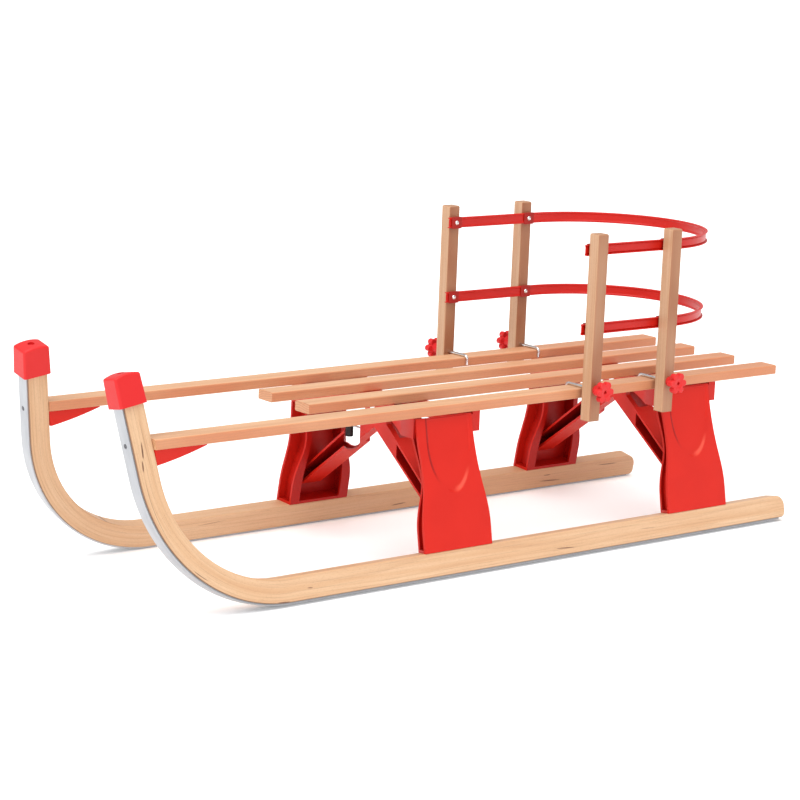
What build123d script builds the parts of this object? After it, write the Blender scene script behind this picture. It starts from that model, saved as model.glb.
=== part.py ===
from build123d import *
import os
from math import cos, radians, sin, tan

# Folding wooden sled with a clamp-on backrest.
#
# Millimetres.  +X points to the horns, +Y to the sled's left, +Z up, ground at Z = 0.
# The origin is the middle of the whole sled's box, on the ground.  While it is being
# modelled, X is measured from the rear ends of the slats, and every piece is shifted
# by the same amount when it is written.
#
# The left half is built and the right half is its mirror image, except round the
# hinge, where two cheeks on the left take one tongue on the right between them.

os.makedirs("parts", exist_ok=True)

# ---------------------------------------------------------------- driving sizes
# Seat
SEAT_HEIGHT = 226.5
SLAT_PITCH = 84.0
SLAT_WIDTH = 32.0
SLAT_THICKNESS = 13.5
SLAT_EDGE_RADIUS = 2.5
INNER_SLAT_LENGTH = 773.0

# Runners, measured in their own leaning plane
CANT = 10.5
RUNNER_WIDTH = 24.0
RUNNER_DEPTH = 32.1
RUNNER_OVERHANG = 6.0
RUNNER_EDGE_RADIUS = 2.0
RUNNER_HEEL_TOP_RADIUS = 16.0
RUNNER_HEEL_SOLE_RADIUS = 8.0
SOLE_LENGTH = 881.0
BEND_OUTER_RADIUS = 207.5
BEND_INNER_RADIUS = 168.0
HORN_LEAN = 9.0
HORN_DEPTH = 28.5
HORN_INSET = 3.9
HORN_RISE = 68.0

# Steel strip under each runner
STRIP_THICKNESS = 2.5
STRIP_WIDTH = 20.5
STRIP_HEEL_GAP = 12.0
STRIP_TOP_GAP = 6.0

# Caps on the horn tips
CAP_WALL = 3.6
CAP_SKIRT = 31.0
CAP_CROWN = 9.0
CAP_ARCH = 3.5
CAP_EDGE_RADIUS = 3.2
CAP_TAPER = 0.8
CAP_HOLE_RADIUS = 4.5
CAP_HOLE_DEPTH = 3.0

# Gussets under the outer slats, behind the horns
GUSSET_LENGTH = 75.0
GUSSET_DEPTH = 20.5
GUSSET_MID_DEPTH = 12.5
GUSSET_TOE_DEPTH = 1.5
GUSSET_WIDTH = 25.0

# Moulded supports
SUPPORT_FRONT_X = 607.5
SUPPORT_REAR_X = 172.5
SUPPORT_WALL = 3.5
LEG_TOP_GAP = 4.5
LEG_TOP_FRONT = 53.0
LEG_WAIST_FRONT = 47.0
LEG_FOOT_FRONT = 53.0
LEG_TOP_REAR = 40.0
LEG_WAIST_REAR = 50.0
LEG_FOOT_REAR = 59.5
LEG_WAIST_HEIGHT = 84.0
LEG_FLARE_HEIGHT = 26.0
LEG_GROOVE_TOP = 8.0
LEG_GROOVE_WAIST = 13.0
LEG_GROOVE_FOOT = 7.0
LEG_SLOT = 5.0
LEG_LIP_FOOT = 15.0
LEG_BASE = 4.0
LEG_PANEL_NOTCH_HALF = 43.0
TONGUE_FRONT = 37.5
TONGUE_REAR = 36.5
TONGUE_TOE_X = -5.0
TONGUE_DROP = 102.0
TONGUE_SHOULDER = 30.0
TONGUE_DEPTH = 1.8
TONGUE_SLOPE = 4.5
BEAM_EAR_HALF = 55.5
BEAM_EAR_LENGTH = 26.0
BEAM_EAR_DEPTH = 28.0
BEAM_MID_DEPTH = 22.0
BEAM_NECK_LENGTH = 30.0
STRUT_HALF = 17.5
STRUT_FLANGE = 4.0
STRUT_WEB = 4.0
STRUT_LOW_DROP = 39.0
STRUT_LOW_SLOPE = 0.72
STRUT_TOP_DROP = 10.0
STRUT_TOP_SLOPE = 0.77

# Hinge between the halves
HINGE_DROP = 12.0
BARREL_RADIUS = 8.0
HINGE_ZONE = 50.0
TONGUE_HALF = 8.5
HINGE_SIDE_GAP = 0.5
BARREL_GAP = 0.6
SEAM_GAP = 0.3
PIN_RADIUS = 3.5
PIN_RUNNING_GAP = 0.1
PIN_HEAD_RADIUS = 6.0
PIN_HEAD_THICKNESS = 2.5

# Latch on the front support's right half
LATCH_NOTCH_Y = 68.0
LATCH_NOTCH_RADIUS = 11.0
LATCH_NOTCH_FLOOR = 89.0
LATCH_NOTCH_SKEW = 51.5
LATCH_WIRE_DROP = 55.0
LATCH_WIRE_SEAT = 12.0
LATCH_GRIP_Y = 75.0
LATCH_GRIP_RADIUS = 5.5
LATCH_GRIP_LENGTH = 15.0
LATCH_WIRE_RADIUS = 1.3

# Backrest
POST_SIDE = 19.0
POST_GAP = 7.0
POST_ABOVE = 214.0
POST_BELOW = 41.0
POST_TOP_CHAMFER = 1.6
POST_EDGE_RADIUS = 2.2
POST_FRONT_X = 376.0
POST_REAR_X = 240.0
BAND_HEIGHT = 15.0
BAND_DEPTH = 4.5
BAND_SHEET = 1.5
BAND_LEAD = 12.5
BAND_TAIL = 15.0
BAND_UPPER_RISE = 190.5
BAND_LOWER_RISE = 82.5
HOOK_RADIUS = 2.0
HOOK_BEND_RADIUS = 5.0
HOOK_DROP = 10.5
HOOK_GAP = 0.3
KNOB_RADIUS = 15.0
KNOB_THICKNESS = 9.0
KNOB_LOBES = 6
KNOB_LOBE_RADIUS = 4.6
KNOB_BOSS_RADIUS = 8.0
KNOB_BOSS_LENGTH = 11.0

# ---------------------------------------------------------------- derived places
UNDERSIDE = SEAT_HEIGHT - SLAT_THICKNESS
OUTER_SLAT_Y = 1.5 * SLAT_PITCH
INNER_SLAT_Y = 0.5 * SLAT_PITCH
HALF_RUNNER = RUNNER_WIDTH / 2
SOLE_Z = STRIP_WIDTH / 2 * sin(radians(CANT))
SEAT_RISE = (SEAT_HEIGHT - SOLE_Z) / cos(radians(CANT))
SOLE_Y = OUTER_SLAT_Y - HORN_INSET + SEAT_RISE * sin(radians(CANT))
RUNNER_TOP = STRIP_THICKNESS + RUNNER_DEPTH
RUNNER_HEEL_X = -RUNNER_OVERHANG
BEND_X = RUNNER_HEEL_X + SOLE_LENGTH
LEAN_UP = Vector(sin(radians(HORN_LEAN)), cos(radians(HORN_LEAN)))
LEAN_FORWARD = Vector(cos(radians(HORN_LEAN)), -sin(radians(HORN_LEAN)))
BEND_CENTRE = Vector(BEND_X, STRIP_THICKNESS + BEND_OUTER_RADIUS)
HORN_FOOT = BEND_CENTRE + LEAN_FORWARD * BEND_OUTER_RADIUS
HORN_LENGTH = (SEAT_RISE + HORN_RISE - HORN_FOOT.Y) / cos(radians(HORN_LEAN))
HORN_TIP = HORN_FOOT + LEAN_UP * HORN_LENGTH
HORN_MIDDLE = HORN_TIP - LEAN_FORWARD * (HORN_DEPTH / 2)
INNER_CENTRE_Z = RUNNER_TOP + BEND_INNER_RADIUS
REAR_LINE = HORN_FOOT.dot(LEAN_FORWARD) - HORN_DEPTH
INNER_CENTRE_X = (REAR_LINE - BEND_INNER_RADIUS + INNER_CENTRE_Z * sin(radians(HORN_LEAN))) / cos(
    radians(HORN_LEAN)
)
INNER_CENTRE = Vector(INNER_CENTRE_X, INNER_CENTRE_Z)
PIVOT_Z = UNDERSIDE - HINGE_DROP
POST_INNER_Y = OUTER_SLAT_Y + SLAT_WIDTH / 2 + POST_GAP
KNOB_Y = POST_INNER_Y + POST_SIDE + KNOB_BOSS_LENGTH + KNOB_THICKNESS / 2
HOOK_Z = SEAT_HEIGHT + HOOK_GAP + HOOK_RADIUS
POST_Y = POST_INNER_Y + POST_SIDE / 2
BIG = 4 * SOLE_LENGTH


def leaning(shape):
    """Puts a shape drawn upright over its sole line into the left runner's leaning plane."""
    return Pos(0, SOLE_Y, SOLE_Z) * Rot(X=CANT) * shape


def right_of(shape):
    """The right half's copy of a left-hand piece."""
    return mirror(shape, about=Plane.XZ)


def prism_xz(curves, width, middle=0.0):
    """A closed outline in X and Z, made into a solid of that width about Y = middle."""
    face = make_face(Plane.XZ * (Curve() + curves))
    return Pos(0, middle, 0) * extrude(face, width / 2, both=True)


def prism_yz(points, low_x, high_x):
    """A polygon of (Y, Z) points, made into a solid between two values of X."""
    face = make_face(Plane.YZ * Polyline(*points, close=True))
    return Pos(low_x, 0, 0) * extrude(face, high_x - low_x, dir=(1, 0, 0))


def prism_xy(points, low_z, high_z):
    """A polygon of (X, Y) points, made into a solid between two heights."""
    face = make_face(Polyline(*points, close=True))
    return Pos(0, 0, low_z) * extrude(face, high_z - low_z, dir=(0, 0, 1))


def rod(start, end, radius):
    """A round rod between two points."""
    line = Line(start, end)
    return sweep(Plane(origin=start, z_dir=line % 0) * Circle(radius), path=line)


# ---------------------------------------------------------------- runners
def runner_wood():
    """Laminated runner with its horn, upright over its sole line."""
    sole_start = RUNNER_HEEL_X + RUNNER_HEEL_SOLE_RADIUS
    top_start = RUNNER_HEEL_X + RUNNER_HEEL_TOP_RADIUS
    sole = Line((sole_start, STRIP_THICKNESS), (BEND_X, STRIP_THICKNESS))
    outer_bend = CenterArc(BEND_CENTRE, BEND_OUTER_RADIUS, -90, 90 - HORN_LEAN)
    front = Line(HORN_FOOT, HORN_TIP)
    tip = Line(HORN_TIP, HORN_TIP - LEAN_FORWARD * HORN_DEPTH)
    inner_foot = INNER_CENTRE + LEAN_FORWARD * BEND_INNER_RADIUS
    rear = Line(tip @ 1, inner_foot)
    inner_bend = CenterArc(INNER_CENTRE, BEND_INNER_RADIUS, -HORN_LEAN, HORN_LEAN - 90)
    top = Line((INNER_CENTRE_X, RUNNER_TOP), (top_start, RUNNER_TOP))
    top_round = CenterArc((top_start, RUNNER_TOP - RUNNER_HEEL_TOP_RADIUS), RUNNER_HEEL_TOP_RADIUS, 90, 90)
    sole_round_middle = (sole_start, STRIP_THICKNESS + RUNNER_HEEL_SOLE_RADIUS)
    sole_round = CenterArc(sole_round_middle, RUNNER_HEEL_SOLE_RADIUS, 180, 90)
    heel = Line(top_round @ 1, sole_round @ 0)
    outline = [sole, outer_bend, front, tip, rear, inner_bend, top, top_round, heel, sole_round]
    solid = prism_xz(outline, RUNNER_WIDTH)
    long_edges = [
        edge
        for edge in solid.edges()
        if edge.length > HORN_DEPTH + 1 and abs(abs(edge.center().Y) - HALF_RUNNER) < 0.1
    ]
    return fillet(long_edges, RUNNER_EDGE_RADIUS)


def runner_strip():
    """Steel strip under the sole, round the bend and up the front of the horn."""
    radius = BEND_OUTER_RADIUS + STRIP_THICKNESS
    heel_x = RUNNER_HEEL_X + STRIP_HEEL_GAP
    outer_foot = BEND_CENTRE + LEAN_FORWARD * radius
    rise = LEAN_UP * (HORN_LENGTH - STRIP_TOP_GAP)
    outline = [
        Line((heel_x, 0), (BEND_X, 0)),
        CenterArc(BEND_CENTRE, radius, -90, 90 - HORN_LEAN),
        Line(outer_foot, outer_foot + rise),
        Line(outer_foot + rise, HORN_FOOT + rise),
        Line(HORN_FOOT + rise, HORN_FOOT),
        CenterArc(BEND_CENTRE, BEND_OUTER_RADIUS, -HORN_LEAN, HORN_LEAN - 90),
        Line((BEND_X, STRIP_THICKNESS), (heel_x, STRIP_THICKNESS)),
        Line((heel_x, STRIP_THICKNESS), (heel_x, 0)),
    ]
    return prism_xz(outline, STRIP_WIDTH)


def horn_cap():
    """Moulded cap pushed over the horn's tip, with its arched crown and screw recess."""
    half_depth = (HORN_DEPTH + STRIP_THICKNESS) / 2 + CAP_WALL
    half_width = HALF_RUNNER + CAP_WALL
    top = Pos(0, 0, CAP_CROWN) * Rectangle(2 * (half_depth - CAP_TAPER), 2 * (half_width - CAP_TAPER))
    skirt = Pos(0, 0, -CAP_SKIRT) * Rectangle(2 * half_depth, 2 * half_width)
    cap = loft([skirt, top])
    crown_radius = (half_depth**2 + CAP_ARCH**2) / (2 * CAP_ARCH)
    crown = Pos(0, 0, CAP_CROWN - crown_radius) * Rot(X=90) * Cylinder(crown_radius, 3 * half_width)
    cap = cap & crown
    rounded = [edge for edge in cap.edges() if edge.center().Z > -CAP_SKIRT + 1]
    cap = fillet(rounded, CAP_EDGE_RADIUS)
    pocket = Box(
        HORN_DEPTH + STRIP_THICKNESS,
        RUNNER_WIDTH,
        2 * CAP_SKIRT,
        align=(Align.CENTER, Align.CENTER, Align.MAX),
    )
    hole = Pos(0, 0, CAP_CROWN) * Cylinder(CAP_HOLE_RADIUS, 2 * CAP_HOLE_DEPTH)
    middle = HORN_TIP + LEAN_FORWARD * ((STRIP_THICKNESS - HORN_DEPTH) / 2)
    return Pos(middle.X, 0, middle.Y) * Rot(Y=HORN_LEAN) * (cap - pocket - hole)


def ahead_of_horn():
    """Everything in front of the plane that the horn's rear face lies in, leaning."""
    corner = HORN_TIP - LEAN_FORWARD * HORN_DEPTH
    block = Box(BIG, BIG, BIG, align=(Align.MIN, Align.CENTER, Align.CENTER))
    return leaning(Pos(corner.X, 0, corner.Y) * Rot(Y=HORN_LEAN) * block)


# ---------------------------------------------------------------- slats and gussets
def slat(length, middle_y):
    """Seat slat with its long edges rounded, its rear end at X = 0."""
    box = Box(length, SLAT_WIDTH, SLAT_THICKNESS, align=(Align.MIN, Align.CENTER, Align.MAX))
    rounded = fillet(box.edges().filter_by(Axis.X), SLAT_EDGE_RADIUS)
    return Pos(0, middle_y, SEAT_HEIGHT) * rounded


def outer_slat():
    """Long slat, cut to butt against the back of the horn."""
    return slat(BEND_X + BEND_OUTER_RADIUS + HORN_DEPTH, OUTER_SLAT_Y) - ahead_of_horn()


def gusset():
    """Wedge under the outer slat that backs up its joint with the horn."""
    joint_z = (UNDERSIDE - SOLE_Z) / cos(radians(CANT))
    corner = HORN_TIP - LEAN_FORWARD * HORN_DEPTH
    joint_x = corner.X - (corner.Y - joint_z) * tan(radians(HORN_LEAN))
    toe = joint_x - GUSSET_LENGTH
    middle = joint_x - GUSSET_LENGTH / 2
    root = joint_x + GUSSET_LENGTH
    outline = [
        Line((toe, UNDERSIDE), (root, UNDERSIDE)),
        Line((root, UNDERSIDE), (root, UNDERSIDE - GUSSET_DEPTH)),
        Line((root, UNDERSIDE - GUSSET_DEPTH), (joint_x, UNDERSIDE - GUSSET_DEPTH)),
        ThreePointArc(
            (joint_x, UNDERSIDE - GUSSET_DEPTH),
            (middle, UNDERSIDE - GUSSET_MID_DEPTH),
            (toe, UNDERSIDE - GUSSET_TOE_DEPTH),
        ),
        Line((toe, UNDERSIDE - GUSSET_TOE_DEPTH), (toe, UNDERSIDE)),
    ]
    return prism_xz(outline, GUSSET_WIDTH, OUTER_SLAT_Y) - ahead_of_horn()


# ---------------------------------------------------------------- supports
def leg_height(drop):
    """Height up the leaning leg of a level that lies a drop below the slats' underside."""
    return SEAT_RISE - (SLAT_THICKNESS + drop) / cos(radians(CANT))


def leg_side(direction, top, waist, foot):
    """One edge of the leg, from its head to the runner, with its reaches at three levels."""
    flare_z = RUNNER_TOP + LEG_FLARE_HEIGHT
    levels = [
        (direction * top, leg_height(LEG_TOP_GAP)),
        (direction * waist, RUNNER_TOP + LEG_WAIST_HEIGHT),
        (direction * foot, flare_z),
    ]
    curve = Spline(levels, tangents=[(0, -1), (0, -1)])
    return [curve, Line(levels[2], (direction * foot, RUNNER_TOP))]


def leg_slab(insets, low_w, high_w):
    """The leg's outline, drawn in by three insets, between two distances from the runner's middle."""
    top, waist, foot = insets
    front = leg_side(1, LEG_TOP_FRONT - top, LEG_WAIST_FRONT - waist, LEG_FOOT_FRONT - foot)
    rear = leg_side(-1, LEG_TOP_REAR - top, LEG_WAIST_REAR - waist, LEG_FOOT_REAR - foot)
    head = Line(front[0] @ 0, rear[0] @ 0)
    base = Line(front[1] @ 1, rear[1] @ 1)
    return prism_xz(front + rear + [head, base], high_w - low_w, (low_w + high_w) / 2)


def tongue_outline(inset):
    """Outline of the tongue-shaped recess, drawn in all round by an inset, at Y = 0."""
    head = leg_height(0)
    shoulder = leg_height(LEG_TOP_GAP) - TONGUE_SHOULDER
    toe_depth = TONGUE_DROP - TONGUE_SHOULDER - inset
    front = TONGUE_FRONT - inset
    rear = TONGUE_REAR - inset
    toe_middle = (TONGUE_TOE_X, shoulder)
    outline = [
        Line((-rear, head), (front, head)),
        Line((front, head), (front, shoulder)),
        EllipticalCenterArc(toe_middle, front - TONGUE_TOE_X, toe_depth, start_angle=270, arc_size=90),
        EllipticalCenterArc(toe_middle, rear + TONGUE_TOE_X, toe_depth, start_angle=180, arc_size=90),
        Line((-rear, shoulder), (-rear, head)),
    ]
    return make_face(Plane.XZ * (Curve() + outline))


def leg_tongue():
    """Shallow tongue-shaped recess with sloping sides, down the upper part of the outer panel."""
    faces = [
        Pos(0, HALF_RUNNER + level, 0) * tongue_outline(-level * TONGUE_SLOPE / TONGUE_DEPTH)
        for level in (TONGUE_DEPTH, -TONGUE_DEPTH)
    ]
    return loft(faces, ruled=True)


def leg():
    """Hollow leg: outer panel, inner lips, side walls set in between the two, and a thin base."""
    inner = -HALF_RUNNER
    outer = HALF_RUNNER
    groove = (LEG_GROOVE_TOP, LEG_GROOVE_WAIST, LEG_GROOVE_FOOT)
    slot = tuple(inset + LEG_SLOT for inset in groove)
    within = tuple(inset + SUPPORT_WALL for inset in slot)
    panel = leg_slab((0, 0, 0), outer - SUPPORT_WALL, outer)
    walls = leg_slab(slot, inner, outer) - leg_slab(within, inner - 1, outer + 1)
    mouth = (within[0], within[1], LEG_GROOVE_FOOT + LEG_LIP_FOOT)
    lips = leg_slab(groove, inner, inner + SUPPORT_WALL) - leg_slab(mouth, inner - 1, outer)
    base_plan = [
        (LEG_FOOT_FRONT, outer),
        (LEG_FOOT_FRONT - LEG_GROOVE_FOOT, inner),
        (LEG_GROOVE_FOOT - LEG_FOOT_REAR, inner),
        (-LEG_FOOT_REAR, outer),
    ]
    base = prism_xy(base_plan, RUNNER_TOP, RUNNER_TOP + LEG_BASE)
    return leaning(panel + walls + lips + base - leg_tongue())


def strut_height(y, drop, slope):
    """Height of one of the strut's edges at a distance from the middle of the sled."""
    return UNDERSIDE - drop - slope * y


def strut_slab(low_x, high_x, inset, start, end):
    """Slice of the strut between two values of X and of Y, thinned by an inset."""
    points = []
    for y in (start, end):
        points.append((y, strut_height(y, STRUT_TOP_DROP, STRUT_TOP_SLOPE) - inset))
    for y in (end, start):
        points.append((y, strut_height(y, STRUT_LOW_DROP, STRUT_LOW_SLOPE) + inset))
    return prism_yz(points, low_x, high_x)


def strut():
    """Diagonal strut from the hinge to the leg, a channel open to the front past the hinge."""
    end = SOLE_Y + HALF_RUNNER
    whole = strut_slab(-STRUT_HALF, STRUT_HALF, 0, SEAM_GAP / 2, end)
    channel_y = HINGE_ZONE + STRUT_FLANGE
    whole -= strut_slab(STRUT_WEB - STRUT_HALF, STRUT_HALF, STRUT_FLANGE, channel_y, 2 * end)
    return whole & behind_panel()


def behind_panel():
    """Everything on the inner side of the leg's outer face."""
    block = Box(BIG, BIG, BIG, align=(Align.CENTER, Align.MAX, Align.CENTER))
    return leaning(Pos(0, HALF_RUNNER - SUPPORT_WALL / 2, 0) * block)


def beam_plan(inset):
    """Plan of the half beam: wide ears at the leg, narrowing to the strut's width."""
    ear_y = SOLE_Y - (SEAT_RISE - SLAT_THICKNESS) * sin(radians(CANT)) + HALF_RUNNER
    half = BEAM_EAR_HALF - inset
    neck = STRUT_HALF - inset
    right_side = [
        (half, ear_y - inset),
        (half, ear_y - BEAM_EAR_LENGTH),
        (neck, BEAM_NECK_LENGTH),
        (neck, SEAM_GAP / 2 + inset),
    ]
    return right_side + [(-x, y) for x, y in reversed(right_side)]


def beam():
    """Half cross-beam under the slats: two upright walls, open above and below."""
    low = UNDERSIDE - BEAM_EAR_DEPTH
    shell = prism_xy(beam_plan(0), low, UNDERSIDE)
    inner = prism_xy(beam_plan(SUPPORT_WALL), low - 1, UNDERSIDE + 1)
    walls = shell - inner
    ear_y = beam_plan(0)[0][1]
    over_panel = Pos(0, ear_y, UNDERSIDE) * Box(
        2 * LEG_PANEL_NOTCH_HALF, 4 * SUPPORT_WALL, 2 * LEG_TOP_GAP
    )
    arch = make_face(
        Plane.YZ
        * (
            Curve()
            + [
                ThreePointArc(
                    (ear_y - BEAM_EAR_LENGTH, low),
                    ((ear_y - BEAM_EAR_LENGTH) / 2, UNDERSIDE - BEAM_MID_DEPTH),
                    (0, low),
                ),
                Line((0, low), (ear_y - BEAM_EAR_LENGTH, low)),
            ]
        )
    )
    return walls - over_panel - extrude(arch, BIG / 2, both=True)


def barrel(radius, low_x, high_x):
    """Round barrel about the hinge's axis."""
    return Pos((low_x + high_x) / 2, 0, PIVOT_Z) * Rot(Y=90) * Cylinder(radius, high_x - low_x)


def hinge_zone(low_x, high_x):
    """Room round the hinge that belongs to the other half between two values of X."""
    top = PIVOT_Z + BARREL_RADIUS + BARREL_GAP
    depth = STRUT_LOW_DROP + STRUT_LOW_SLOPE * HINGE_ZONE
    block = Box(
        high_x - low_x, 2 * HINGE_ZONE, depth + SLAT_THICKNESS, align=(Align.MIN, Align.CENTER, Align.MAX)
    )
    return Pos(low_x, 0, top) * block


def hinge_web():
    """Solid block between the beam and the strut at the hinge."""
    points = [
        (SEAM_GAP / 2, UNDERSIDE),
        (BEAM_NECK_LENGTH, UNDERSIDE),
        (BEAM_NECK_LENGTH, strut_height(BEAM_NECK_LENGTH, STRUT_LOW_DROP, STRUT_LOW_SLOPE)),
        (SEAM_GAP / 2, strut_height(SEAM_GAP / 2, STRUT_LOW_DROP, STRUT_LOW_SLOPE)),
    ]
    return prism_yz(points, -STRUT_HALF, STRUT_HALF)


def half_support():
    """Left half of a support before its hinge is cut, about its own middle."""
    return leg() + strut() + beam() + hinge_web()


def cheek_support(plain):
    """Left half: two cheeks with the slot for the other half's tongue."""
    slot_half = TONGUE_HALF + HINGE_SIDE_GAP
    half = plain - hinge_zone(-slot_half, slot_half)
    for low, high in ((-STRUT_HALF, -slot_half), (slot_half, STRUT_HALF)):
        half += barrel(BARREL_RADIUS, low, high)
    return half - barrel(PIN_RADIUS, -BEAM_EAR_HALF, BEAM_EAR_HALF)


def tongue_support(plain):
    """Right half: one tongue between the cheeks, drawn on the left and mirrored later."""
    half = plain
    for low, high in ((-BEAM_EAR_HALF, -TONGUE_HALF), (TONGUE_HALF, BEAM_EAR_HALF)):
        half -= hinge_zone(low, high)
    half += barrel(BARREL_RADIUS, -TONGUE_HALF, TONGUE_HALF)
    return half - barrel(PIN_RADIUS + PIN_RUNNING_GAP, -BEAM_EAR_HALF, BEAM_EAR_HALF)


def latch_notch():
    """Slanting U-shaped notch across the strut, open upwards."""
    floor = UNDERSIDE - LATCH_NOTCH_FLOOR
    width = 2 * LATCH_NOTCH_RADIUS
    reach = 2 * (LATCH_NOTCH_Y + STRUT_HALF)
    height = LATCH_NOTCH_FLOOR - BEAM_EAR_DEPTH - LATCH_NOTCH_RADIUS
    round_end = Rot(Y=90) * Cylinder(LATCH_NOTCH_RADIUS, reach)
    shaft = Box(reach, width, height, align=(Align.CENTER, Align.CENTER, Align.MIN))
    place = Pos(0, LATCH_NOTCH_Y, floor + LATCH_NOTCH_RADIUS) * Rot(Z=-LATCH_NOTCH_SKEW)
    return place * (round_end + shaft)


def hinge_pin():
    """Pin with a low round head at each end."""
    head_x = STRUT_HALF + PIN_HEAD_THICKNESS
    pin = barrel(PIN_RADIUS, -head_x, head_x)
    heads = barrel(PIN_HEAD_RADIUS, STRUT_HALF, head_x) + barrel(PIN_HEAD_RADIUS, -head_x, -STRUT_HALF)
    return pin + heads


# ---------------------------------------------------------------- latch
def latch_wire(radius):
    """Straight wire of the latch, from its seat in the strut to its grip, drawn on the left."""
    wall_y = LATCH_NOTCH_Y - LATCH_NOTCH_RADIUS / cos(radians(LATCH_NOTCH_SKEW))
    z = UNDERSIDE - LATCH_WIRE_DROP
    return rod((0, wall_y - LATCH_WIRE_SEAT, z), (0, LATCH_GRIP_Y + LATCH_GRIP_RADIUS, z), radius)


def latch_grip():
    """Dark grip that hangs from the latch wire, drawn on the left."""
    grip = Cylinder(LATCH_GRIP_RADIUS, LATCH_GRIP_LENGTH, align=(Align.CENTER, Align.CENTER, Align.MAX))
    return Pos(0, LATCH_GRIP_Y, UNDERSIDE - LATCH_WIRE_DROP - LATCH_WIRE_RADIUS) * grip


# ---------------------------------------------------------------- backrest
def post(middle_x):
    """Square post outside the left outer slat."""
    length = POST_ABOVE + POST_BELOW
    box = Box(POST_SIDE, POST_SIDE, length, align=(Align.CENTER, Align.CENTER, Align.MAX))
    box = fillet(box.edges().filter_by(Axis.Z), POST_EDGE_RADIUS)
    box = chamfer(box.faces().sort_by(Axis.Z)[-1].edges(), POST_TOP_CHAMFER)
    hole = Pos(0, 0, HOOK_Z - SEAT_HEIGHT - POST_ABOVE) * Rot(X=90) * Cylinder(HOOK_RADIUS, 2 * POST_SIDE)
    return Pos(middle_x, POST_Y, SEAT_HEIGHT + POST_ABOVE) * (box - hole)


def band(rise):
    """Sheet-metal channel bent round the back, its flanges turned outwards."""
    web_y = POST_INNER_Y - BAND_DEPTH
    front_x = POST_FRONT_X + BAND_LEAD
    bend_x = POST_REAR_X - BAND_TAIL
    z = SEAT_HEIGHT + rise

    def sheet(low_y, high_y, height):
        rails = Pos(0, (low_y + high_y) / 2, 0) * Box(
            front_x - bend_x, high_y - low_y, height, align=(Align.MIN, Align.CENTER, Align.CENTER)
        )
        rails = Pos(bend_x, 0, 0) * rails
        ring = Cylinder(high_y, height) - Cylinder(low_y, height)
        back = ring & Box(2 * BIG, 2 * BIG, height, align=(Align.MAX, Align.CENTER, Align.CENTER))
        return rails + right_of(rails) + Pos(bend_x, 0, 0) * back

    web = sheet(web_y, web_y + BAND_SHEET, BAND_HEIGHT)
    deep = sheet(web_y, POST_INNER_Y, BAND_HEIGHT)
    hollow = sheet(web_y + BAND_SHEET, POST_INNER_Y, BAND_HEIGHT - 2 * BAND_SHEET)
    return Pos(0, 0, z) * (web + (deep - hollow))


def clamp_hook(middle_x):
    """Rod through the post and over the slat, bent down along the slat's inner side."""
    inner_y = OUTER_SLAT_Y - SLAT_WIDTH / 2 - HOOK_GAP - HOOK_RADIUS
    path = FilletPolyline(
        (middle_x, KNOB_Y, HOOK_Z),
        (middle_x, inner_y, HOOK_Z),
        (middle_x, inner_y, SEAT_HEIGHT - HOOK_DROP),
        radius=HOOK_BEND_RADIUS,
    )
    start = Plane(origin=path @ 0, z_dir=path % 0)
    return sweep(start * Circle(HOOK_RADIUS), path=path)


def star_knob(middle_x):
    """Six-lobed clamp knob on the outside of a post."""
    lobe_ring = KNOB_RADIUS - KNOB_LOBE_RADIUS
    body = Cylinder(lobe_ring, KNOB_THICKNESS)
    for place in PolarLocations(lobe_ring, KNOB_LOBES):
        body += place * Cylinder(KNOB_LOBE_RADIUS, KNOB_THICKNESS)
    boss = Pos(0, 0, (KNOB_THICKNESS + KNOB_BOSS_LENGTH) / 2) * Cylinder(KNOB_BOSS_RADIUS, KNOB_BOSS_LENGTH)
    bore_depth = KNOB_THICKNESS / 2 + KNOB_BOSS_LENGTH
    bore = Cylinder(HOOK_RADIUS, bore_depth, align=(Align.CENTER, Align.CENTER, Align.MIN))
    return Pos(middle_x, KNOB_Y, HOOK_Z) * Rot(X=90) * (body + boss - bore)


# ---------------------------------------------------------------- the whole sled
pieces = {}

left_half = {
    "runner": leaning(runner_wood()),
    "runner_strip": leaning(runner_strip()),
    "horn_cap": leaning(horn_cap()),
    "horn_gusset": gusset(),
    "outer_slat": outer_slat(),
    "inner_slat": slat(INNER_SLAT_LENGTH, INNER_SLAT_Y),
}
for name, shape in left_half.items():
    pieces[name + "_left"] = shape
    pieces[name + "_right"] = right_of(shape)

plain_support = half_support()
cheeks = cheek_support(plain_support)
tongue = tongue_support(plain_support)
for place, middle_x in (("front", SUPPORT_FRONT_X), ("rear", SUPPORT_REAR_X)):
    notched = tongue - latch_notch() - latch_wire(LATCH_WIRE_RADIUS) if place == "front" else tongue
    pieces["support_" + place + "_left"] = Pos(middle_x, 0, 0) * cheeks
    pieces["support_" + place + "_right"] = Pos(middle_x, 0, 0) * right_of(notched)
    pieces["hinge_pin_" + place] = Pos(middle_x, 0, 0) * hinge_pin()

pieces["latch_bail"] = Pos(SUPPORT_FRONT_X, 0, 0) * right_of(latch_wire(LATCH_WIRE_RADIUS))
pieces["latch_grip"] = Pos(SUPPORT_FRONT_X, 0, 0) * right_of(latch_grip())

for place, middle_x in (("front", POST_FRONT_X), ("rear", POST_REAR_X)):
    for kind, shape in (("post", post), ("clamp_hook", clamp_hook), ("star_knob", star_knob)):
        piece = shape(middle_x)
        pieces[kind + "_" + place + "_left"] = piece
        pieces[kind + "_" + place + "_right"] = right_of(piece)
pieces["band_upper"] = band(BAND_UPPER_RISE)
pieces["band_lower"] = band(BAND_LOWER_RISE)

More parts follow.
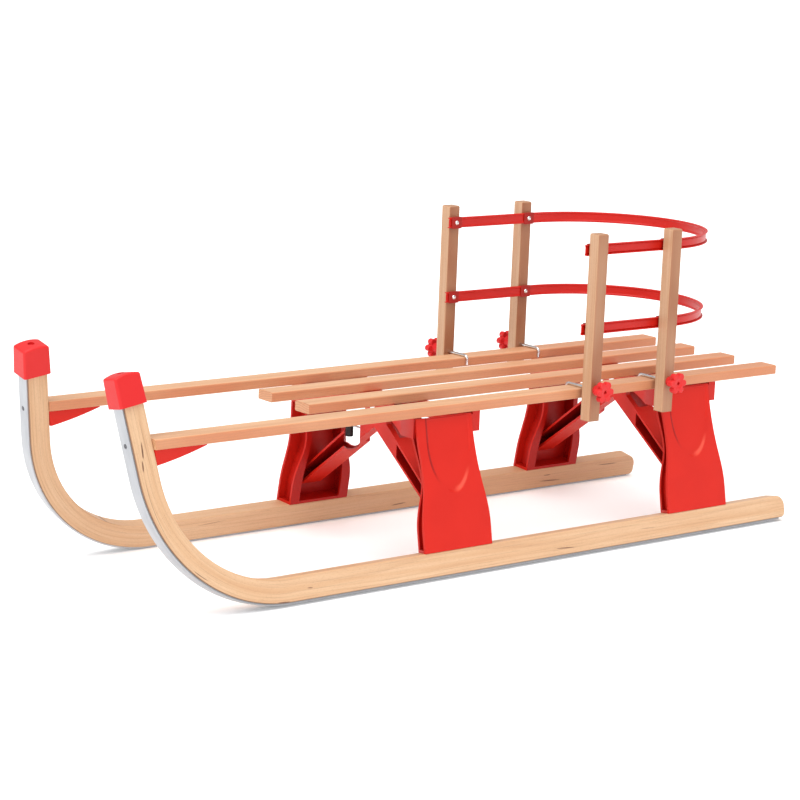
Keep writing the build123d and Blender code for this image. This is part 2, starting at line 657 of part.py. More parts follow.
low_x = min(piece.bounding_box().min.X for piece in pieces.values())
high_x = max(piece.bounding_box().max.X for piece in pieces.values())
to_origin = Pos(-(low_x + high_x) / 2, 0, 0)
for name, piece in pieces.items():
    export_step(to_origin * piece, "parts/" + name + ".step")
print("slats' rear ends at X", round(-(low_x + high_x) / 2, 3), "hinge at Z", round(PIVOT_Z, 3))
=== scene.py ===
"""Looks of a folding wooden sled with a clamp-on backrest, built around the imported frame.

Metres, in the frame's own axes: +X to the horns, +Y to the sled's left, +Z up, ground at Z = 0.
"""

from __future__ import annotations

import logging
import math
from dataclasses import dataclass, field, replace
from enum import Enum
from typing import Any, Callable, Iterable, Sequence, Union

import bmesh
import bpy
from mathutils import Matrix, Vector
from mathutils.bvhtree import BVHTree


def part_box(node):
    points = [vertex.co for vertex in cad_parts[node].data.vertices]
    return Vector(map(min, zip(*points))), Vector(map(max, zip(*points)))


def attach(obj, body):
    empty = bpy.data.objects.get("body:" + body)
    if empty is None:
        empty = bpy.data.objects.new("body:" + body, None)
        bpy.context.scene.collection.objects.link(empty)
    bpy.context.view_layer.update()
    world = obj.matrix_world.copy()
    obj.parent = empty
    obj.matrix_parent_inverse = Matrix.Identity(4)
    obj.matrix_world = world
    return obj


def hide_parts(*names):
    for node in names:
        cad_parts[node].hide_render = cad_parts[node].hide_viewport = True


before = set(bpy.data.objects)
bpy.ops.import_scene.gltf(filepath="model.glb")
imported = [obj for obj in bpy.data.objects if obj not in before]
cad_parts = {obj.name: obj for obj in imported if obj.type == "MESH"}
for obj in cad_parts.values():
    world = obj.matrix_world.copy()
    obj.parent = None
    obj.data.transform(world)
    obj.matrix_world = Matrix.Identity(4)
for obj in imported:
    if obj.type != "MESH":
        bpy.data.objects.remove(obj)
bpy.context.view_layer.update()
LOG = logging.getLogger("sled")

MM = 0.001
CORNER_STEPS = 4
Colour = tuple[float, float, float]
Span = tuple[float, float]
Value = Union[float, "Sock"]
Veil = tuple[float, float, Value]


# ---------------------------------------------------------------- node graphs
def operator(operation: str, turned: bool = False) -> Callable[["Sock", Value], "Sock"]:
    """Makes the method behind one of Python's operators on sockets.

    Args:
        operation: the Math node's operation.
        turned: whether the other value comes first.

    Returns:
        The method.
    """

    def method(value: "Sock", other: Value) -> "Sock":
        """The operation on the two values."""
        first, second = (other, value) if turned else (value, other)
        return value.graph.node("ShaderNodeMath", {"operation": operation}, {0: first, 1: second})

    return method


class Sock:
    """A node's output socket, so that sums on it add Math nodes."""

    __add__ = operator("ADD")
    __radd__ = operator("ADD", turned=True)
    __sub__ = operator("SUBTRACT")
    __rsub__ = operator("SUBTRACT", turned=True)
    __mul__ = operator("MULTIPLY")
    __rmul__ = operator("MULTIPLY", turned=True)
    __truediv__ = operator("DIVIDE")
    __gt__ = operator("GREATER_THAN")
    __lt__ = operator("LESS_THAN")

    def __init__(self, graph: "Graph", out: bpy.types.NodeSocket) -> None:
        """Keeps the graph that the socket belongs to.

        Args:
            graph: the graph that new nodes go into.
            out: the output socket.
        """
        self.graph = graph
        self.out = out

    def __abs__(self) -> "Sock":
        """Size of self without its sign."""
        return self.to("ABSOLUTE")

    def to(self, operation: str, other: Value = 0.0) -> "Sock":
        """Any other Math operation on this value.

        Args:
            operation: the node's operation, such as FLOOR or ARCTAN2.
            other: its second value, where it has one.

        Returns:
            The node's result.
        """
        return operator(operation)(self, other)

    def step(self, low: float, high: float) -> "Sock":
        """Smooth step from 0 at low to 1 at high, or the other way round.

        Args:
            low: where it is 0.
            high: where it is 1.

        Returns:
            The step, between 0 and 1.
        """
        ends = {"From Min": low, "From Max": high, "To Min": 0.0, "To Max": 1.0}
        if low > high:
            ends = {"From Min": high, "From Max": low, "To Min": 1.0, "To Max": 0.0}
        settings = {"interpolation_type": "SMOOTHSTEP"}
        return self.graph.node("ShaderNodeMapRange", settings, {"Value": self, **ends})


class Graph:
    """A node tree that is written as expressions."""

    def __init__(self, tree: bpy.types.NodeTree) -> None:
        """Starts with an empty tree.

        Args:
            tree: the tree, whose nodes are cleared.
        """
        self.tree = tree
        tree.nodes.clear()

    def node(
        self,
        kind: str,
        settings: dict[str, Any] | None = None,
        sockets: dict[int | str, Any] | None = None,
        out: int | str = 0,
    ) -> Sock:
        """Adds a node, sets it and joins it up.

        Args:
            kind: the node's type.
            settings: what is set on the node first, with "stops" for a ramp's colours.
            sockets: a value or a link for each input, by name or number.
            out: the output that is wanted.

        Returns:
            That output.
        """
        made = self.tree.nodes.new(kind)
        for key, value in (settings or {}).items():
            if key == "stops":
                self._stops(made.color_ramp, value)
            else:
                setattr(made, key, value)
        for key, value in (sockets or {}).items():
            if isinstance(value, Sock):
                self.tree.links.new(value.out, made.inputs[key])
            elif value is not None:
                made.inputs[key].default_value = value
        return Sock(self, made.outputs[out] if made.outputs else None)

    @staticmethod
    def _stops(ramp: bpy.types.ColorRamp, stops: Sequence[tuple[float, Colour]]) -> None:
        """Sets a ramp's stops.

        Args:
            ramp: the ramp.
            stops: a place and a colour for each.
        """
        while len(ramp.elements) < len(stops):
            ramp.elements.new(1.0)
        for element, (place, colour) in zip(ramp.elements, stops):
            element.position = place
            element.color = (*colour, 1.0)

    def vector(self, x: Value, y: Value, z: Value) -> Sock:
        """A vector of three values."""
        return self.node("ShaderNodeCombineXYZ", {}, {0: x, 1: y, 2: z})


class Shader(Graph):
    """A material's nodes round one Principled shader."""

    def __init__(self, name: str) -> None:
        """Makes the material.

        Args:
            name: its name.
        """
        self.material = bpy.data.materials.new(name)
        self.material.use_nodes = True
        super().__init__(self.material.node_tree)
        point = self.node("ShaderNodeTexCoord", out="Object")
        split = self.node("ShaderNodeSeparateXYZ", {}, {0: point}).out.node
        self.x, self.y, self.z = (Sock(self, split.outputs[i]) for i in range(3))

    def blend(self, factor: Value, first: Any, second: Any, mode: str = "MIX") -> Sock:
        """A colour between two others.

        Args:
            factor: 0 for the first and 1 for the second.
            first: a colour or a link.
            second: a colour or a link.
            mode: how they mix.

        Returns:
            The mixed colour.
        """
        first, second = (c if isinstance(c, Sock) else (*c, 1.0) for c in (first, second))
        settings = {"data_type": "RGBA", "blend_type": mode, "clamp_factor": True}
        return self.node("ShaderNodeMix", settings, {0: factor, 6: first, 7: second}, out=2)

    def veil(self, pattern: Sock, veil: Veil, below: Any, over: Colour) -> Sock:
        """Lays a colour over another where a pattern is strong.

        Args:
            pattern: the pattern.
            veil: where the pattern starts to show, where it shows in full, and its share there.
            below: the colour below.
            over: the colour over it.

        Returns:
            The new colour.
        """
        low, high, share = veil
        return self.blend(pattern.step(low, high) * share, below, over)

    def cells(self, x: float, y: float | None = None, z: float | None = None) -> Sock:
        """The point in units of one size, or of a size for each axis."""
        return self.vector(self.x / x, self.y / (y or x), self.z / (z or x))

    def drawn(self, axes: Sequence[Sock], size: Span, ahead: float = 0.0, aside: float = 0.0) -> Sock:
        """A vector whose units are long along the grain and short across it.

        Args:
            axes: the coordinate along the grain and the two across it.
            size: the unit along the grain and the unit across it.
            ahead: shift along the grain, in units.
            aside: shift across it, in units.

        Returns:
            The vector.
        """
        along, first, second = axes
        return self.vector(along / size[0] + ahead, first / size[1], second / size[1] + aside)

    def noise(self, vector: Sock, detail: float = 2.0, roughness: float = 0.5) -> Sock:
        """Soft noise, about 0.5, one unit across.

        Args:
            vector: where it is read, already in the noise's units.
            detail: how many finer layers it has.
            roughness: how strong they are.

        Returns:
            The noise.
        """
        sockets = {"Vector": vector, "Scale": 1.0, "Detail": detail, "Roughness": roughness}
        return self.node("ShaderNodeTexNoise", {}, sockets)

    def chance(self, value: Sock) -> Sock:
        """A fixed random number from 0 to 1 for each whole value."""
        return self.node("ShaderNodeTexWhiteNoise", {"noise_dimensions": "1D"}, {"W": value})

    def bump(self, height: Sock, depth: float, strength: float = 1.0) -> Sock:
        """A normal from a height.

        Args:
            height: the height, from 0 to 1.
            depth: metres that 1 stands for.
            strength: share of the effect.

        Returns:
            The normal.
        """
        return self.node("ShaderNodeBump", {}, {"Height": height, "Distance": depth, "Strength": strength})

    def finish(self, **sockets: Any) -> bpy.types.Material:
        """Closes the graph with its Principled shader.

        Args:
            sockets: values and links, with underscores for the spaces in their names.

        Returns:
            The material.
        """
        named = {key.replace("_", " "): value for key, value in sockets.items()}
        for key, value in named.items():
            if isinstance(value, tuple):
                named[key] = (*value, 1.0)
        shader = self.node("ShaderNodeBsdfPrincipled", {}, named)
        self.node("ShaderNodeOutputMaterial", {}, {"Surface": shader})
        return self.material


class Growth(Graph):
    """A Geometry Nodes tree with named inputs for its sizes."""

    def __init__(self, name: str, sizes: dict[str, float]) -> None:
        """Makes the tree and its inputs.

        Args:
            name: its name.
            sizes: each input's name and value.
        """
        super().__init__(bpy.data.node_groups.new(name, "GeometryNodeTree"))
        face = self.tree.interface
        face.new_socket("Geometry", in_out="INPUT", socket_type="NodeSocketGeometry")
        face.new_socket("Geometry", in_out="OUTPUT", socket_type="NodeSocketGeometry")
        self.values: dict[str, float] = {}
        for size, value in sizes.items():
            made = face.new_socket(size, in_out="INPUT", socket_type="NodeSocketFloat")
            self.values[made.identifier] = value
        source = self.node("NodeGroupInput").out.node
        self.inputs = {socket.name: Sock(self, socket) for socket in source.outputs if socket.name}

    def path(self, points: int) -> tuple[Sock, Sock]:
        """A curve with a number of points, and the place of each along it from 0 to 1.

        Args:
            points: how many points it has.

        Returns:
            The curve and the factor.
        """
        line = self.node("GeometryNodeCurvePrimitiveLine", {}, {"End": (1.0, 0.0, 0.0)})
        fine = self.node("GeometryNodeResampleCurve", {}, {"Curve": line, "Count": points})
        return fine, self.node("GeometryNodeSplineParameter")

    def sweep(self, curve: Sock, position: Sock) -> Sock:
        """Moves a curve's points to their places and sweeps the seeds' outline along it.

        Args:
            curve: the curve.
            position: where each of its points goes.

        Returns:
            The swept solid, with its ends closed.
        """
        placed = self.node("GeometryNodeSetPosition", {}, {"Geometry": curve, "Position": position})
        level = self.node("GeometryNodeSetCurveNormal", {"mode": "Z_UP"}, {"Curve": placed})
        seeds = self.node("NodeGroupInput")
        outline = self.node("GeometryNodeMeshToCurve", {}, {"Mesh": seeds})
        sockets = {"Curve": level, "Profile Curve": outline, "Fill Caps": True}
        return self.node("GeometryNodeCurveToMesh", {}, sockets)

    def close(self, geometry: Sock, material: bpy.types.Material) -> None:
        """Ends the tree in real geometry with its material.

        Args:
            geometry: what was grown.
            material: its finish.
        """
        real = self.node("GeometryNodeRealizeInstances", {}, {0: geometry})
        dressed = self.node("GeometryNodeSetMaterial", {}, {"Geometry": real, "Material": material})
        self.node("NodeGroupOutput", {}, {0: dressed})

    def grow(self, name: str, seeds: bpy.types.Mesh) -> bpy.types.Mesh:
        """Runs the tree on a mesh of seeds and keeps the result as a plain mesh.

        Args:
            name: the new mesh's name.
            seeds: the mesh that the tree starts from.

        Returns:
            The plain mesh.
        """
        return modified(seeds, name, "NODES", {"node_group": self.tree}, self.values)


# ---------------------------------------------------------------- pieces
def modified(
    mesh: bpy.types.Mesh,
    name: str,
    kind: str,
    settings: dict[str, Any],
    inputs: dict[str, float] | None = None,
) -> bpy.types.Mesh:
    """A plain copy of a mesh with one modifier applied.

    Args:
        mesh: the mesh to start from.
        name: the new mesh's name.
        kind: the modifier's type.
        settings: what is set on the modifier.
        inputs: values for its tree's inputs, where it has a tree.

    Returns:
        The new mesh.
    """
    host = bpy.data.objects.new(name + "_host", mesh)
    bpy.context.scene.collection.objects.link(host)
    modifier = host.modifiers.new("change", kind)
    for key, value in settings.items():
        setattr(modifier, key, value)
    for key, value in (inputs or {}).items():
        modifier[key] = value
    seen = host.evaluated_get(bpy.context.evaluated_depsgraph_get())
    result = bpy.data.meshes.new_from_object(seen)
    result.name = name
    bpy.data.objects.remove(host)
    return result


@dataclass(frozen=True)
class Edge:
    """How the edges of a piece are eased and shaded."""

    width: float = 0.4 * MM
    segments: int = 2
    sharp: float = 32.0

    def ease(self, mesh: bpy.types.Mesh, name: str) -> bpy.types.Mesh:
        """Rounds the sharp edges of a mesh and lets its wide faces rule the shading.

        Args:
            mesh: the mesh to start from.
            name: the new mesh's name.

        Returns:
            The eased mesh.
        """
        sharp = math.radians(self.sharp)
        if self.width > 0:
            settings = {
                "width": self.width,
                "segments": self.segments,
                "limit_method": "ANGLE",
                "angle_limit": sharp,
                "use_clamp_overlap": True,
                "harden_normals": False,
            }
            mesh = modified(mesh, name, "BEVEL", settings)
        mesh.polygons.foreach_set("use_smooth", [True] * len(mesh.polygons))
        mesh.set_sharp_from_angle(angle=sharp)
        return modified(mesh, name, "WEIGHTED_NORMAL", {"keep_sharp": True})


def outline_mesh(name: str, corners: Sequence[tuple[float, float]]) -> bpy.types.Mesh:
    """A closed outline in a plane, as a loop of edges.

    Args:
        name: the mesh's name.
        corners: its corners, anticlockwise.

    Returns:
        The mesh.
    """
    mesh = bpy.data.meshes.new(name + "_outline")
    count = len(corners)
    edges = [(number, (number + 1) % count) for number in range(count)]
    mesh.from_pydata([(x, y, 0.0) for x, y in corners], edges, [])
    return mesh


def round_corners(
    corners: Sequence[tuple[float, float, float]], steps: int = CORNER_STEPS
) -> list[tuple[float, float]]:
    """Rounds the corners of a closed outline.

    Args:
        corners: each corner's place and radius.
        steps: pieces that each rounded corner has.

    Returns:
        The outline's points.
    """
    points: list[tuple[float, float]] = []
    count = len(corners)
    for number, (x, y, radius) in enumerate(corners):
        here = Vector((x, y))
        before = Vector(corners[number - 1][:2]) - here
        after = Vector(corners[(number + 1) % count][:2]) - here
        start = here + before.normalized() * radius
        end = here + after.normalized() * radius
        for step in range(steps + 1):
            share = step / steps
            bend = start * (1 - share) ** 2 + here * 2 * share * (1 - share) + end * share**2
            points.append((bend.x, bend.y))
    return points


def ringed_mesh(
    name: str, stacks: Iterable[Sequence[Sequence[Sequence[float]]]], material: bpy.types.Material
) -> bpy.types.Mesh:
    """Closed skins over stacks of rings, in one mesh.

    Args:
        name: the mesh's name.
        stacks: for each skin, its rings of points from one end to the other.
        material: its finish.

    Returns:
        The mesh.
    """
    work = bmesh.new()
    for stack in stacks:
        rings = [[work.verts.new(point) for point in ring] for ring in stack]
        for first, second in zip(rings, rings[1:]):
            for number in range(len(first)):
                after = (number + 1) % len(first)
                work.faces.new((first[number], first[after], second[after], second[number]))
        work.faces.new(rings[0][::-1])
        work.faces.new(rings[-1])
    bmesh.ops.recalc_face_normals(work, faces=work.faces)
    mesh = bpy.data.meshes.new(name)
    work.to_mesh(mesh)
    work.free()
    mesh.materials.append(material)
    return mesh


def merged_copy(node: str, close: float = 0.002 * MM, flat: float = 0.4) -> bpy.types.Mesh:
    """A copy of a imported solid's mesh with its loose triangles joined into whole faces.

    Args:
        node: the solid's name.
        close: corners nearer than this are one.
        flat: degrees between two faces that still count as one.

    Returns:
        The new mesh.
    """
    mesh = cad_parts[node].data.copy()
    work = bmesh.new()
    work.from_mesh(mesh)
    bmesh.ops.remove_doubles(work, verts=work.verts, dist=close)
    bmesh.ops.dissolve_limit(
        work,
        angle_limit=math.radians(flat),
        use_dissolve_boundaries=False,
        verts=work.verts,
        edges=work.edges,
    )
    work.to_mesh(mesh)
    work.free()
    mesh.materials.clear()
    return mesh


def show(
    name: str,
    mesh: bpy.types.Mesh,
    body: str,
    material: bpy.types.Material | None = None,
    stands_for: Iterable[str] = (),
) -> bpy.types.Object:
    """Puts a finished mesh in the scene as a piece of the sled.

    Args:
        name: the piece's name.
        mesh: its mesh, in place.
        body: the body that it moves with.
        material: its finish, unless the mesh has it.
        stands_for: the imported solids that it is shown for.

    Returns:
        The object.
    """
    if material is not None:
        mesh.materials.clear()
        mesh.materials.append(material)
    piece = bpy.data.objects.new(name, mesh)
    bpy.context.scene.collection.objects.link(piece)
    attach(piece, body)
    nodes = list(stands_for)
    if nodes:
        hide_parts(*nodes)
    LOG.info("%s on %s: %d faces", name, body, len(mesh.polygons))
    return piece


def dress(
    node: str, edge: "Edge", finish: bpy.types.Material, body: str, shade_hollows: bool = False
) -> None:
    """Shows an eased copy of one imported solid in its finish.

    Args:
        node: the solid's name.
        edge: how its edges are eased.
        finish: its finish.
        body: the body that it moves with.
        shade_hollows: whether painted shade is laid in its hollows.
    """
    mesh = edge.ease(merged_copy(node), node + "_shown")
    # Painted shade: store how sheltered each face is, so the material can darken the hollows.
    if shade_hollows:
        store_shelter(mesh)
    show(node + "_shown", mesh, body, finish, [node])


def sphere_ways(count: int) -> list[Vector]:
    """Directions spread evenly over a sphere.

    Args:
        count: how many there are.

    Returns:
        The directions.
    """
    golden = math.pi * (3.0 - math.sqrt(5.0))
    ways = []
    for number in range(count):
        height = 1.0 - 2.0 * (number + 0.5) / count
        level = math.sqrt(1.0 - height * height)
        ways.append(Vector((level * math.cos(golden * number), level * math.sin(golden * number), height)))
    return ways


def store_shelter(
    mesh: bpy.types.Mesh,
    reach: float = 60 * MM,
    rays: int = 64,
    clear: float = 0.2 * MM,
    graze: float = 0.15,
) -> None:
    """Stores on each face how much of what it looks at is the piece itself, as "shelter".

    Args:
        mesh: the piece.
        reach: how far away a wall still shelters a face.
        rays: directions that are tried.
        clear: how far off the face the rays start.
        graze: rays flatter to the face than this are left out.
    """
    corners = [vertex.co for vertex in mesh.vertices]
    tree = BVHTree.FromPolygons(corners, [tuple(face.vertices) for face in mesh.polygons])
    ways = sphere_ways(rays)
    sheltered = []
    for face in mesh.polygons:
        start = face.center + face.normal * clear
        ahead = [way for way in ways if way.dot(face.normal) > graze]
        hits = sum(tree.ray_cast(start, way, reach)[0] is not None for way in ahead)
        sheltered.append(hits / len(ahead))
    # The plastic's material turns this value into painted shade in the hollows.
    stored = mesh.attributes.new("shelter", "FLOAT", "FACE")
    stored.data.foreach_set("value", sheltered)


class Side(Enum):
    """The two halves of the sled."""

    LEFT = ("left", 1.0, "left_half")
    RIGHT = ("right", -1.0, "right_half")

    @property
    def word(self) -> str:
        """The half's name."""
        return self.value[0]

    @property
    def sign(self) -> float:
        """The sign of Y on this half."""
        return self.value[1]

    @property
    def body(self) -> str:
        """The body that the half moves with."""
        return self.value[2]


class Place(Enum):
    """The two places along the seat where things repeat."""

    FRONT = "front"
    REAR = "rear"


# ---------------------------------------------------------------- finishes
class Grain(Enum):
    """Which way the wood's grain runs."""

    ALONG_X = "along_x"
    UPRIGHT = "upright"
    RUNNER = "runner"


@dataclass(frozen=True)
class RunnerLine:
    """The line that a runner is bent along, which its grain and its strip follow."""

    bend_x: float
    cant: float = math.radians(10.5)
    lean: float = math.radians(9.0)
    radius: float = 207.5 * MM
    strip: float = 2.5 * MM
    strip_width: float = 20.5 * MM
    sole_y: float = 163.73 * MM
    heel: float = 875.0 * MM

    @classmethod
    def of_frame(cls) -> "RunnerLine":
        """The line, which starts to bend a fixed way ahead of the slats' rear ends."""
        return cls(bend_x=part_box("outer_slat_left")[0].x + cls.heel)

    @property
    def sole_z(self) -> float:
        """Height of the sole's middle, from its lean."""
        return self.strip_width / 2 * math.sin(self.cant)

    def canted(self, shader: Shader) -> tuple[Sock, Sock]:
        """Place across the runner's width, outwards, and height square to it.

        Args:
            shader: the material that reads them.

        Returns:
            The two values, in metres.
        """
        out = abs(shader.y) - self.sole_y
        up = shader.z - self.sole_z
        across = out * math.cos(self.cant) + up * math.sin(self.cant)
        return across, up * math.cos(self.cant) - out * math.sin(self.cant)

    def coordinates(self, shader: Shader) -> tuple[Sock, Sock, Sock]:
        """Distance along the runner, depth from its outer face and place across its width.

        Args:
            shader: the material that reads them.

        Returns:
            The three values, in metres.
        """
        across, rise = self.canted(shader)
        ahead = shader.x - self.bend_x
        over = rise - (self.strip + self.radius)
        forward = ahead * math.cos(self.lean) - over * math.sin(self.lean)
        upward = ahead * math.sin(self.lean) + over * math.cos(self.lean)
        distance = (ahead * ahead + over * over).to("SQRT")
        turn = ahead.to("ARCTAN2", over * -1.0)
        bent = ahead > 0.0
        horn = bent * (upward > 0.0)
        bend = bent - horn
        sole = 1.0 - bent
        foot = self.radius * (math.pi / 2 - self.lean)
        along = sole * ahead + bend * (turn * self.radius) + horn * (upward + foot)
        depth = sole * (rise - self.strip) + bend * (self.radius - distance) + horn * (self.radius - forward)
        return along, depth, across

    def point(self, along_horn: float, proud: float, across: float, side: Side) -> Vector:
        """A point on the horn.

        Args:
            along_horn: distance up the horn from the end of the bend.
            proud: how far it stands in front of the wood's outer face.
            across: place across the width, outwards.
            side: the half.

        Returns:
            The point.
        """
        forward = self.radius + proud
        x = self.bend_x + forward * math.cos(self.lean) + along_horn * math.sin(self.lean)
        rise = self.strip + self.radius - forward * math.sin(self.lean) + along_horn * math.cos(self.lean)
        y = self.sole_y + across * math.cos(self.cant) - rise * math.sin(self.cant)
        z = self.sole_z + across * math.sin(self.cant) + rise * math.cos(self.cant)
        return Vector((x, side.sign * y, z))

    def facing(self, side: Side) -> Vector:
        """The way the horn's front face looks."""
        return (self.point(0.0, 1.0, 0.0, side) - self.point(0.0, 0.0, 0.0, side)).normalized()


@dataclass(frozen=True)
class Tongue:
    """The tongue-shaped recess in a leg's outer panel, whose front edge gets painted shade and whose toe gets
    a painted highlight.
    """

    line: RunnerLine
    middle_x: float
    underside: float
    front: float = 37.5 * MM
    rear: float = 36.5 * MM
    toe_x: float = -5.0 * MM
    drop: float = 102.0 * MM
    shoulder: float = 30.0 * MM
    top_gap: float = 4.5 * MM
    face: Span = (9.4 * MM, 10.0 * MM)
    beam: float = 55.5 * MM
    shade_in: Span = (-1.0 * MM, 0.2 * MM)
    shade_out: Span = (4.6 * MM, 1.2 * MM)
    shade_down: Span = (0.85, 0.40)
    shine_in: Span = (-0.4 * MM, 1.6 * MM)
    shine_out: Span = (4.5 * MM, 2.2 * MM)
    shine_back: Span = (0.15, -0.30)
    shine_down: Span = (0.50, 0.80)

    @classmethod
    def of(cls, node: str, line: RunnerLine) -> "Tongue":
        """The tongue of one support, whose beam reaches a fixed way ahead of its middle."""
        return cls(line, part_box(node)[1].x - cls.beam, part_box("outer_slat_left")[0].z)

    def edges(self, shader: Shader) -> tuple[Sock, Sock]:
        """Masks of the front edge, which lies in shade, and of the toe's rear edge, which shines.

        Args:
            shader: the material that reads them.

        Returns:
            The two masks.
        """
        across, rise = self.line.canted(shader)
        head = (self.underside - self.top_gap - self.line.sole_z) / math.cos(self.line.cant)
        down = head - rise
        ahead = shader.x - (self.middle_x + self.toe_x)
        forward = ahead > 0.0
        half = (self.front - self.toe_x) * forward + (self.rear + self.toe_x) * (1.0 - forward)
        level = (down - self.shoulder).to("MAXIMUM", 0.0) / (self.drop - self.shoulder)
        place = ahead / half
        ring = (place * place + level * level).to("SQRT")
        inside = (1.0 - ring) * half
        on_face = across.step(*self.face)
        shade = inside.step(*self.shade_in) * inside.step(*self.shade_out)
        shade = shade * forward * level.step(*self.shade_down)
        shine = inside.step(*self.shine_in) * inside.step(*self.shine_out)
        shine = shine * place.step(*self.shine_back) * level.step(*self.shine_down)
        return shade * on_face, shine * on_face


@dataclass(frozen=True)
class Mark:
    """A dark natural mark in the wood."""

    along: float
    depth: float
    length: float
    width: float = 0.9 * MM
    slant: float = 0.0
    strength: float = 0.85


@dataclass(frozen=True)
class Board:
    """The box of a straight piece of wood, which tells its faces apart."""

    low: Vector
    high: Vector
    eased: Span = (1.3 * MM, 0.5 * MM)

    @classmethod
    def of(cls, node: str) -> "Board":
        """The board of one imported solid."""
        return cls(*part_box(node))

    def faces(self, place: Sock, axis: int) -> Sock:
        """1 on the two faces that look along an axis, else 0.

        Args:
            place: the coordinate along that axis.
            axis: 0, 1 or 2 for X, Y or Z.

        Returns:
            The mask.
        """
        middle = (self.low[axis] + self.high[axis]) / 2
        half = (self.high[axis] - self.low[axis]) / 2
        return abs(place - middle).step(*(half - ease for ease in self.eased))


@dataclass(frozen=True)
class Beech:
    """Planed beech under clear lacquer."""

    pale: Colour = (0.70, 0.44, 0.275)
    warm: Colour = (0.60, 0.345, 0.20)
    deep: Colour = (0.36, 0.17, 0.085)
    # Colour of the side faces, partly their sawn tone and partly painted shade; drift fades towards it too.
    flank: Colour = (0.52, 0.245, 0.130)
    # Colour of the glued joints and the natural marks, also used for the painted shade beside a runner's
    # strip.
    glue_and_gap_shade: Colour = (0.13, 0.055, 0.03)
    ring: float = 3.2 * MM
    veneer: float = 4.1 * MM
    lacquer: float = 0.15
    streak: Span = (220 * MM, 7 * MM)
    cloud: Span = (120 * MM, 50 * MM)
    sway: Span = (300 * MM, 40 * MM)
    pore: Span = (4.5 * MM, 0.8 * MM)
    fibre: Span = (20 * MM, 0.35 * MM)
    pith: Span = (45 * MM, -60 * MM)
    stray: float = 10 * MM
    wander: float = 12 * MM
    shift: float = 0.37
    roughness: float = 0.42
    streaky: Veil = (0.30, 0.72, 0.8)
    cloudy: Veil = (0.40, 0.75, 0.35)
    fibrous: Veil = (0.35, 0.75, 0.10)
    late_in: Span = (0.55, 0.95)
    late_out: Span = (1.0, 0.96)
    open_pore: Span = (0.34, 0.18)
    ringed: float = 0.20
    flecked: float = 0.30
    sawn: float = 0.45
    drift: float = 0.0
    drift_end: float = -0.60

    def material(
        self,
        name: str,
        grain: Grain,
        seed: float,
        shape: Union[RunnerLine, Board],
        marks: Sequence[Mark] = (),
    ) -> bpy.types.Material:
        """The finish for one piece of wood.

        Args:
            name: the material's name.
            grain: which way the grain runs.
            seed: a number that shifts the pattern.
            shape: the line of a bent runner, or the box of a straight piece.
            marks: dark marks in a runner's faces.

        Returns:
            The material.
        """
        shader = Shader(name)
        axes = self._axes(shader, grain, shape)
        along, first, second = axes
        shift = seed * self.shift
        streaks = shader.noise(shader.drawn(axes, self.streak, shift, shift), 3.0, 0.55)
        clouds = shader.noise(shader.drawn(axes, self.cloud, shift), 1.0)
        sway = shader.noise(shader.drawn(axes, self.sway, shift), 1.0) - 0.5
        aside = self.pith[0] + self.stray * math.sin(seed)
        away = shader.vector(0.0, first - aside, second - self.pith[1])
        radius = shader.node("ShaderNodeVectorMath", {"operation": "LENGTH"}, {0: away}, out=1)
        year = ((radius + sway * self.wander) / self.ring).to("FRACT")
        late = year.step(*self.late_in) * year.step(*self.late_out)
        pores = {"Vector": shader.drawn(axes, self.pore, 0.0, shift), "Scale": 1.0}
        fleck = shader.node("ShaderNodeTexVoronoi", {"feature": "F1"}, pores).step(*self.open_pore)
        fibre = shader.noise(shader.drawn(axes, self.fibre, 0.0, shift), 2.0, 0.6)
        colour = shader.veil(streaks, self.streaky, self.pale, self.warm)
        colour = shader.veil(clouds, self.cloudy, colour, self.warm)
        if isinstance(shape, Board):
            colour = self._cut(shader, colour, grain, shape, clouds, late)
        colour = shader.blend(late * self.ringed, colour, self.deep)
        if self.drift > 0.0:
            colour = shader.veil(along, (0.0, self.drift_end, self.drift), colour, self.flank)
        if isinstance(shape, RunnerLine):
            colour = self._veneers(shader, colour, along, first, seed)
            colour = self._marked(shader, colour, along, first, marks)
        colour = shader.blend(fleck * self.flecked, colour, self.deep)
        colour = shader.veil(fibre, self.fibrous, colour, self.deep)
        return shader.finish(
            Base_Color=colour,
            Roughness=self.roughness + fibre * 0.14 + late * 0.04,
            Specular_IOR_Level=0.35,
            Coat_Weight=self.lacquer,
            Coat_Roughness=0.28,
            Normal=shader.bump(fibre * 0.7 + fleck * -0.3, 0.05 * MM, 0.5),
        )

    @staticmethod
    def _axes(shader: Shader, grain: Grain, shape: Union[RunnerLine, Board]) -> tuple[Sock, Sock, Sock]:
        """The coordinate along the grain and the two across it.

        Args:
            shader: the material.
            grain: which way the grain runs.
            shape: the line of a bent runner, or the box of a straight piece.

        Returns:
            The three values, in metres.
        """
        if isinstance(shape, RunnerLine):
            return shape.coordinates(shader)
        if grain is Grain.UPRIGHT:
            return shader.z, shader.x, shader.y
        return shader.x, shader.y, shader.z

    def _cut(
        self, shader: Shader, colour: Sock, grain: Grain, board: Board, clouds: Sock, late: Sock
    ) -> Sock:
        """Darkens the faces sawn across the rays, partly for their own tone and partly as painted shade, and
        the end grain with its rings.

        Args:
            shader: the material.
            colour: the wood's colour.
            grain: which way the grain runs.
            board: the piece's box.
            clouds: broad patches along the grain.
            late: the late wood of each ring.

        Returns:
            The new colour.
        """
        # Side faces: partly their own sawn tone, partly painted shade.
        flank = board.faces(shader.y, 1) * (0.62 + clouds.step(0.30, 0.70) * 0.38)
        colour = shader.blend(flank, colour, self.flank)
        end = board.faces(shader.z, 2) if grain is Grain.UPRIGHT else board.faces(shader.x, 0)
        colour = shader.blend(end * self.sawn, colour, self.flank)
        return shader.blend(end * late * 0.6, colour, self.deep)

